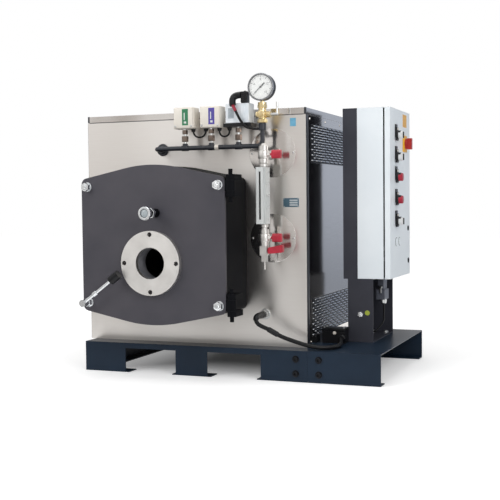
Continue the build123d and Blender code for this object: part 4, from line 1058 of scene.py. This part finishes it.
# Cabinet
# Folded steel box and tray door under pale grey powder coat, with a black rubber seal round the opening.
# The door hangs on concealed pins and has two quarter-turn locks.
cabinet_body = "cabinet_front_door"
cabinet_low, cabinet_high = extent("cabinet_box")
front_x = extent("cabinet_door")[1].x
cabinet_paint = coated_steel("pale_grey_powder_coat", "#e4eaee", "#dde4e9", 0.4, peel_mm=2.0, edge_mm=1.6)
dress(cabinet_paint, "cabinet_box", "cabinet_door")
dress(zinc, "cabinet_hinges")
seal_width = 8
seal_back, seal_front = cabinet_high.x - 3, cabinet_high.x + 2.6
seal_left, seal_right = cabinet_low.y + 12, cabinet_high.y - 14
seal_blocks = []
for y in (seal_left, seal_right):
    upright_end = (seal_front, y + seal_width, cabinet_high.z - 5)
    seal_blocks.append(((seal_back, y, cabinet_low.z + 5), upright_end, 1.0))
for z in (cabinet_low.z + 4, cabinet_high.z - 12):
    level_end = (seal_front, seal_right, z + seal_width)
    seal_blocks.append(((seal_back, seal_left + seal_width, z), level_end, 1.0))
make_piece("cabinet_seal", rubber, blocks=seal_blocks)
lock_profile = [(0, 11), (2, 11), (3, 10), (3, 7.5), (1.6, 7), (1.6, 0)]
lock_places = ((620, 571), (624, 434))
make_piece("cabinet_locks", black_plastic, [
    ((front_x, y, z), to_right, lock_profile, 32) for y, z in lock_places
], [
    ((front_x + 1.4, y - 1.4, z - 5.5), (front_x + 3.4, y + 1.4, z + 5.5), 0.4) for y, z in lock_places
], cabinet_body)
blank_places = [(front_x, y, 521) for y in (404, 462)]
blank_profile = [(0, 14), (0.4, 16.2), (2.4, 16.2), (3.4, 15.2), (3.4, 13.6), (2.2, 12.8), (2.2, 0)]
make_piece("blanking_covers", cabinet_paint, [
    (place, to_right, blank_profile, 40) for place in blank_places
], body=cabinet_body)
yellow_film = printed_film("plain_yellow_film", "#e3a93a", "#d79e31")
make_piece("plain_yellow_label", yellow_film, blocks=[
    ((front_x - 0.1, 526, 993), (front_x + 0.4, 596, 1045), 0.1, 1),
], body=cabinet_body)

# Controls on the cabinet door
# Five units in black frames with a pale legend field above each head: three selectors with white heads and
# black grips, and two red push-buttons. Their collars are screwed on from behind.
control_y, frame_depth, head_reach = 400, 9, 31
controls = (("selector", 956), ("selector", 868), ("button", 787), ("button", 696), ("selector", 609))
button_red = moulded_plastic("red_push_button", "#b01230", "#991029", 0.28)
white_plastic = moulded_plastic("white_pointer_plastic", "#dfe0e0", "#d4d5d6", 0.35)
dress(black_plastic, "door_controls")
frame_front, grip_x = front_x + frame_depth, front_x + head_reach - 3
collar_profile = [(0, 15), (0, 18.5), (3.5, 18.5), (5.5, 17.2), (5.5, 15)]
head_profile = [
    (0, 16), (head_reach - 13, 16), (head_reach - 11, 15.2), (head_reach - 10, 13), (head_reach - 10, 0),
]
blank_rim = [(0, 16), (0, 17.8), (0.9, 17.6), (0.9, 16)]
legend_blocks, frame_blocks = [], []
frame_rounds = [(place, to_right, blank_rim, 40) for place in blank_places]
head_rounds = {"selector": [], "button": []}
for kind, z in controls:
    frame_end = (frame_front, control_y + 15, z + 27)
    frame_blocks.append(((front_x + 3, control_y - 15, z - 27), frame_end, 1.6, 3))
    legend_end = (front_x + 9.6, control_y + 11, z + 25)
    legend_blocks.append(((front_x + 8.6, control_y - 11, z + 17), legend_end, 0.3))
    frame_rounds.append(((frame_front - 1, control_y, z - 4), to_right, collar_profile, 40))
    head_rounds[kind].append(((frame_front, control_y, z - 4), to_right, head_profile, 40))
    if kind == "selector":
        frame_blocks.append(((grip_x, control_y - 4, z - 17), (grip_x + 6, control_y + 4, z + 9), 1.6, 3))
make_piece("legend_plates", pale_plastic, blocks=legend_blocks, body=cabinet_body)
make_piece("control_frames", black_plastic, frame_rounds, frame_blocks, cabinet_body)
make_piece("selector_heads", white_plastic, head_rounds["selector"], body=cabinet_body)
make_piece("push_buttons", button_red, head_rounds["button"], body=cabinet_body)

# Main isolator
# A yellow escutcheon on the door with a red rotary handle that has a raised grip and a padlock slot.
isolator = centre_of("isolator_handle")
isolator_low, isolator_high = extent("isolator_handle")
isolator_red = moulded_plastic("red_isolator_plastic", "#b3241f", "#9d1f1b", 0.32)
dress(isolator_red, "isolator_handle")
escutcheon_half = 34
escutcheon_corner = (front_x, isolator.y - escutcheon_half, isolator.z - escutcheon_half)
escutcheon_end = (front_x + 4.5, isolator.y + escutcheon_half, isolator.z + escutcheon_half)
escutcheon_disc = [(0, 31), (0.8, 31), (1.4, 30), (1.4, 6)]
escutcheon_yellow = moulded_plastic("yellow_escutcheon", "#e8ad2c", "#dca227", 0.35)
make_piece("isolator_escutcheon", escutcheon_yellow, [
    ((front_x + 4, isolator.y, isolator.z), to_right, escutcheon_disc, 64),
], [
    (escutcheon_corner, escutcheon_end, 1.6, 3),
], cabinet_body)
rim_profile = [(0, 6), (0, 20), (1.5, 22), (6, 22), (7.5, 20.5), (7.5, 12)]
slot_corner = (isolator_high.x - 4, isolator.y - 3, isolator.z + 12)
slot_end = (isolator_high.x + 0.6, isolator.y + 3, isolator.z + 21)
make_piece("isolator_rim", isolator_red, [
    ((isolator_low.x + 7, isolator.y, isolator.z), to_right, rim_profile, 48),
], [
    (slot_corner, slot_end, 0.8),
], "isolator_handle_body")

# Cable connector
# A grey die-cast plug under the cabinet with a steel locking clip, a hexagon gland and a black lead.
connector = centre_of("cable_connector")
connector_low, connector_high = extent("cable_connector")
dark_casting = coated_steel("grey_die_casting", "#62656f", "#565963", 0.4, peel_mm=1.2, edge_mm=2.0)
dress(dark_casting, "cable_connector")
hood_top = connector_high.z - 52
lead_gland = [(0, 8.2), (0, 9.5), (1, 10.5), (10, 11.6), (18, 11.6), (18, 8.2)]
make_piece("connector_gland", zinc, [
    ((connector_high.x - 12, connector.y, connector_low.z + 2), upward, lead_gland, 6),
])
clip_blocks = []
for y, outward in ((connector_low.y, -1), (connector_high.y, 1)):
    clip_face = y + outward * 1.8
    strap_end = (connector.x + 5, clip_face, hood_top + 14)
    clip_blocks.append(((connector.x - 5, y, hood_top - 16), strap_end, 0.5))
    hook_end = (connector.x + 8, y - outward * 6.2, hood_top + 13)
    clip_blocks.append(((connector.x - 8, clip_face, hood_top + 6), hook_end, 0.8))
make_piece("connector_clip", zinc, blocks=clip_blocks)

# Stage
# A plain pale floor under soft studio lamps, with the camera at the photograph's place.
# Boards on all sides show only as reflections, and give the bright steel something to mirror.
floor_half, floor_drop = 14.0, -0.0005


def stage_sheet(name, corners, material):
    """A flat sheet of the stage between four corners in metres."""
    mesh = bpy.data.meshes.new(name)
    mesh.from_pydata(corners, [], [(0, 1, 2, 3)])
    mesh.materials.append(material)
    return link_object(name, mesh)


def seen_directly(tree):
    """One for rays from the camera, and for those that metal and glass send on."""
    rays = add(tree, "ShaderNodeLightPath").outputs
    shown = maths(tree, "MAXIMUM", rays["Is Camera Ray"], rays["Is Glossy Ray"])
    return maths(tree, "MAXIMUM", shown, rays["Is Transmission Ray"])


floor_material, floor_tree, floor_where = start_material("pale_floor")
# Painted shade: the floor's glow is dimmed near the middle of the frame and almost gone under the base, so
# the floor is darker around and under the base.
from_middle = add(floor_tree, "ShaderNodeVectorMath", {0: floor_where}, operation="LENGTH")
painted_shade_near_middle = spread(floor_tree, from_middle.outputs["Value"], 0.36, 0.64, 0.8, 2.6, "SMOOTHSTEP")
deck_low, deck_high = extent("base_decks")
base_middle, base_half = spot(*centre_of("base_decks")), (deck_high - deck_low) / 2000
from_base = add(floor_tree, "ShaderNodeVectorMath", {0: floor_where, 1: base_middle}, operation="SUBTRACT")
to_side = add(floor_tree, "ShaderNodeVectorMath", {0: from_base}, operation="ABSOLUTE")
past_edge = add(floor_tree, "ShaderNodeVectorMath", {0: to_side, 1: base_half}, operation="SUBTRACT")
past = add(floor_tree, "ShaderNodeSeparateXYZ", {"Vector": past_edge}).outputs
outside = maths(floor_tree, "MAXIMUM", past["X"], past["Y"])
painted_shade_under_base = spread(floor_tree, outside, 0.08, 1.0, -0.42, 0.02, "SMOOTHSTEP")
floor_white = maths(floor_tree, "MULTIPLY", painted_shade_near_middle, painted_shade_under_base)
floor_glow = maths(floor_tree, "MULTIPLY", seen_directly(floor_tree), floor_white)
matt = add(floor_tree, "ShaderNodeBsdfDiffuse", {"Color": (0.8, 0.8, 0.8, 1.0)})
glow = add(floor_tree, "ShaderNodeEmission", {"Strength": floor_glow})
both = add(floor_tree, "ShaderNodeAddShader", {0: matt, 1: glow})
add(floor_tree, "ShaderNodeOutputMaterial", {"Surface": both})
floor_corners = [
    (x * floor_half, y * floor_half, 0.0) for x, y in ((-1, -1), (1, -1), (1, 1), (-1, 1))
]
floor = stage_sheet("floor", floor_corners, floor_material)
floor.location.z = floor_drop

board_height, board_foot, board_fade = 3.0, 0.6, 0.9


def reflection_board(name, start, end, light, shade, streak_mm):
    """An upright board that only reflections show: streaked tones, darker towards its foot."""
    material, tree, where = start_material(name)
    upright = add(tree, "ShaderNodeMapping", {"Vector": where, "Scale": (1.0, 1.0, 0.08)})
    tone = clouded(tree, upright, light, shade, streak_mm, 1.0)[0]
    height = add(tree, "ShaderNodeSeparateXYZ", {"Vector": where}).outputs["Z"]
    fade = spread(tree, height, board_foot, 1.0, 0.0, board_fade, "SMOOTHSTEP")
    shine = add(tree, "ShaderNodeEmission", {"Color": tone, "Strength": fade})
    add(tree, "ShaderNodeOutputMaterial", {"Surface": shine})
    corners = ((*start, 0.0), (*end, 0.0), (*end, board_height), (*start, board_height))
    board = stage_sheet(name, corners, material)
    for rays in ("camera", "diffuse", "transmission", "shadow"):
        setattr(board, "visible_" + rays, False)


reflection_board("blue_grey_board", (0.4, 1.95), (2.6, 1.95), "#b9c1cf", "#a9b1c0", 700)
reflection_board("front_board", (-2.7, -1.25), (0.95, -1.25), "#ffffff", "#b3ada8", 230)
reflection_board("rear_board", (-2.9, 2.7), (0.35, 2.7), "#f0efee", "#9b9a9a", 160)
reflection_board("left_board", (-2.8, -1.2), (-2.8, 2.6), "#f0efee", "#9b9a9a", 160)
reflection_board("right_board", (3.0, -1.1), (3.0, 1.9), "#f0efee", "#9b9a9a", 160)

world = bpy.data.worlds.new("studio")
bpy.context.scene.world = world
world.use_nodes = True
world_tree = world.node_tree
world_tree.nodes.clear()
white = (1.0, 1.0, 1.0, 1.0)
soft_light = add(world_tree, "ShaderNodeBackground", {"Color": white, "Strength": 0.5})
white_back = add(world_tree, "ShaderNodeBackground", {"Color": white, "Strength": 1.0})
sky = add(world_tree, "ShaderNodeMixShader", {0: seen_directly(world_tree), 1: soft_light, 2: white_back})
add(world_tree, "ShaderNodeOutputWorld", {"Surface": sky})


def studio_lamp(name, place, target, size, power):
    """A large square soft lamp, placed in millimetres and aimed at a point."""
    lamp = bpy.data.lights.new(name, "AREA")
    lamp.shape = "RECTANGLE"
    lamp.size, lamp.size_y = size, size
    lamp.energy = power
    holder = link_object(name, lamp)
    holder.location = spot(*place)
    aim = spot(*target) - holder.location
    holder.rotation_euler = aim.to_track_quat("-Z", "Y").to_euler()


studio_lamp("front_left_lamp", (-1500, -2600, 2600), (480, 200, 500), 2.2, 55)
studio_lamp("right_lamp", (3500, -2300, 2000), (900, 300, 600), 1.8, 52)
studio_lamp("top_lamp", (600, 300, 3600), (600, 400, 500), 2.6, 45)

camera_data = bpy.data.cameras.new("camera")
camera = link_object("camera", camera_data)
camera_place = spot(2139.78, -3578.03, 686.25)
yaw, pitch, roll = radians(-21.4225), radians(2.7268), radians(-0.5861)
aimed = Matrix.Rotation(-yaw, 4, "Z") @ Matrix.Rotation(pi / 2 - pitch, 4, "X")
camera.matrix_world = Matrix.Translation(camera_place) @ aimed @ Matrix.Rotation(roll, 4, "Z")
camera_data.sensor_width = 36.0
camera_data.lens = 71.78
camera_data.clip_end = 100.0
bpy.context.scene.camera = camera
bpy.context.scene.view_settings.view_transform = "Standard"

bpy.context.view_layer.update()
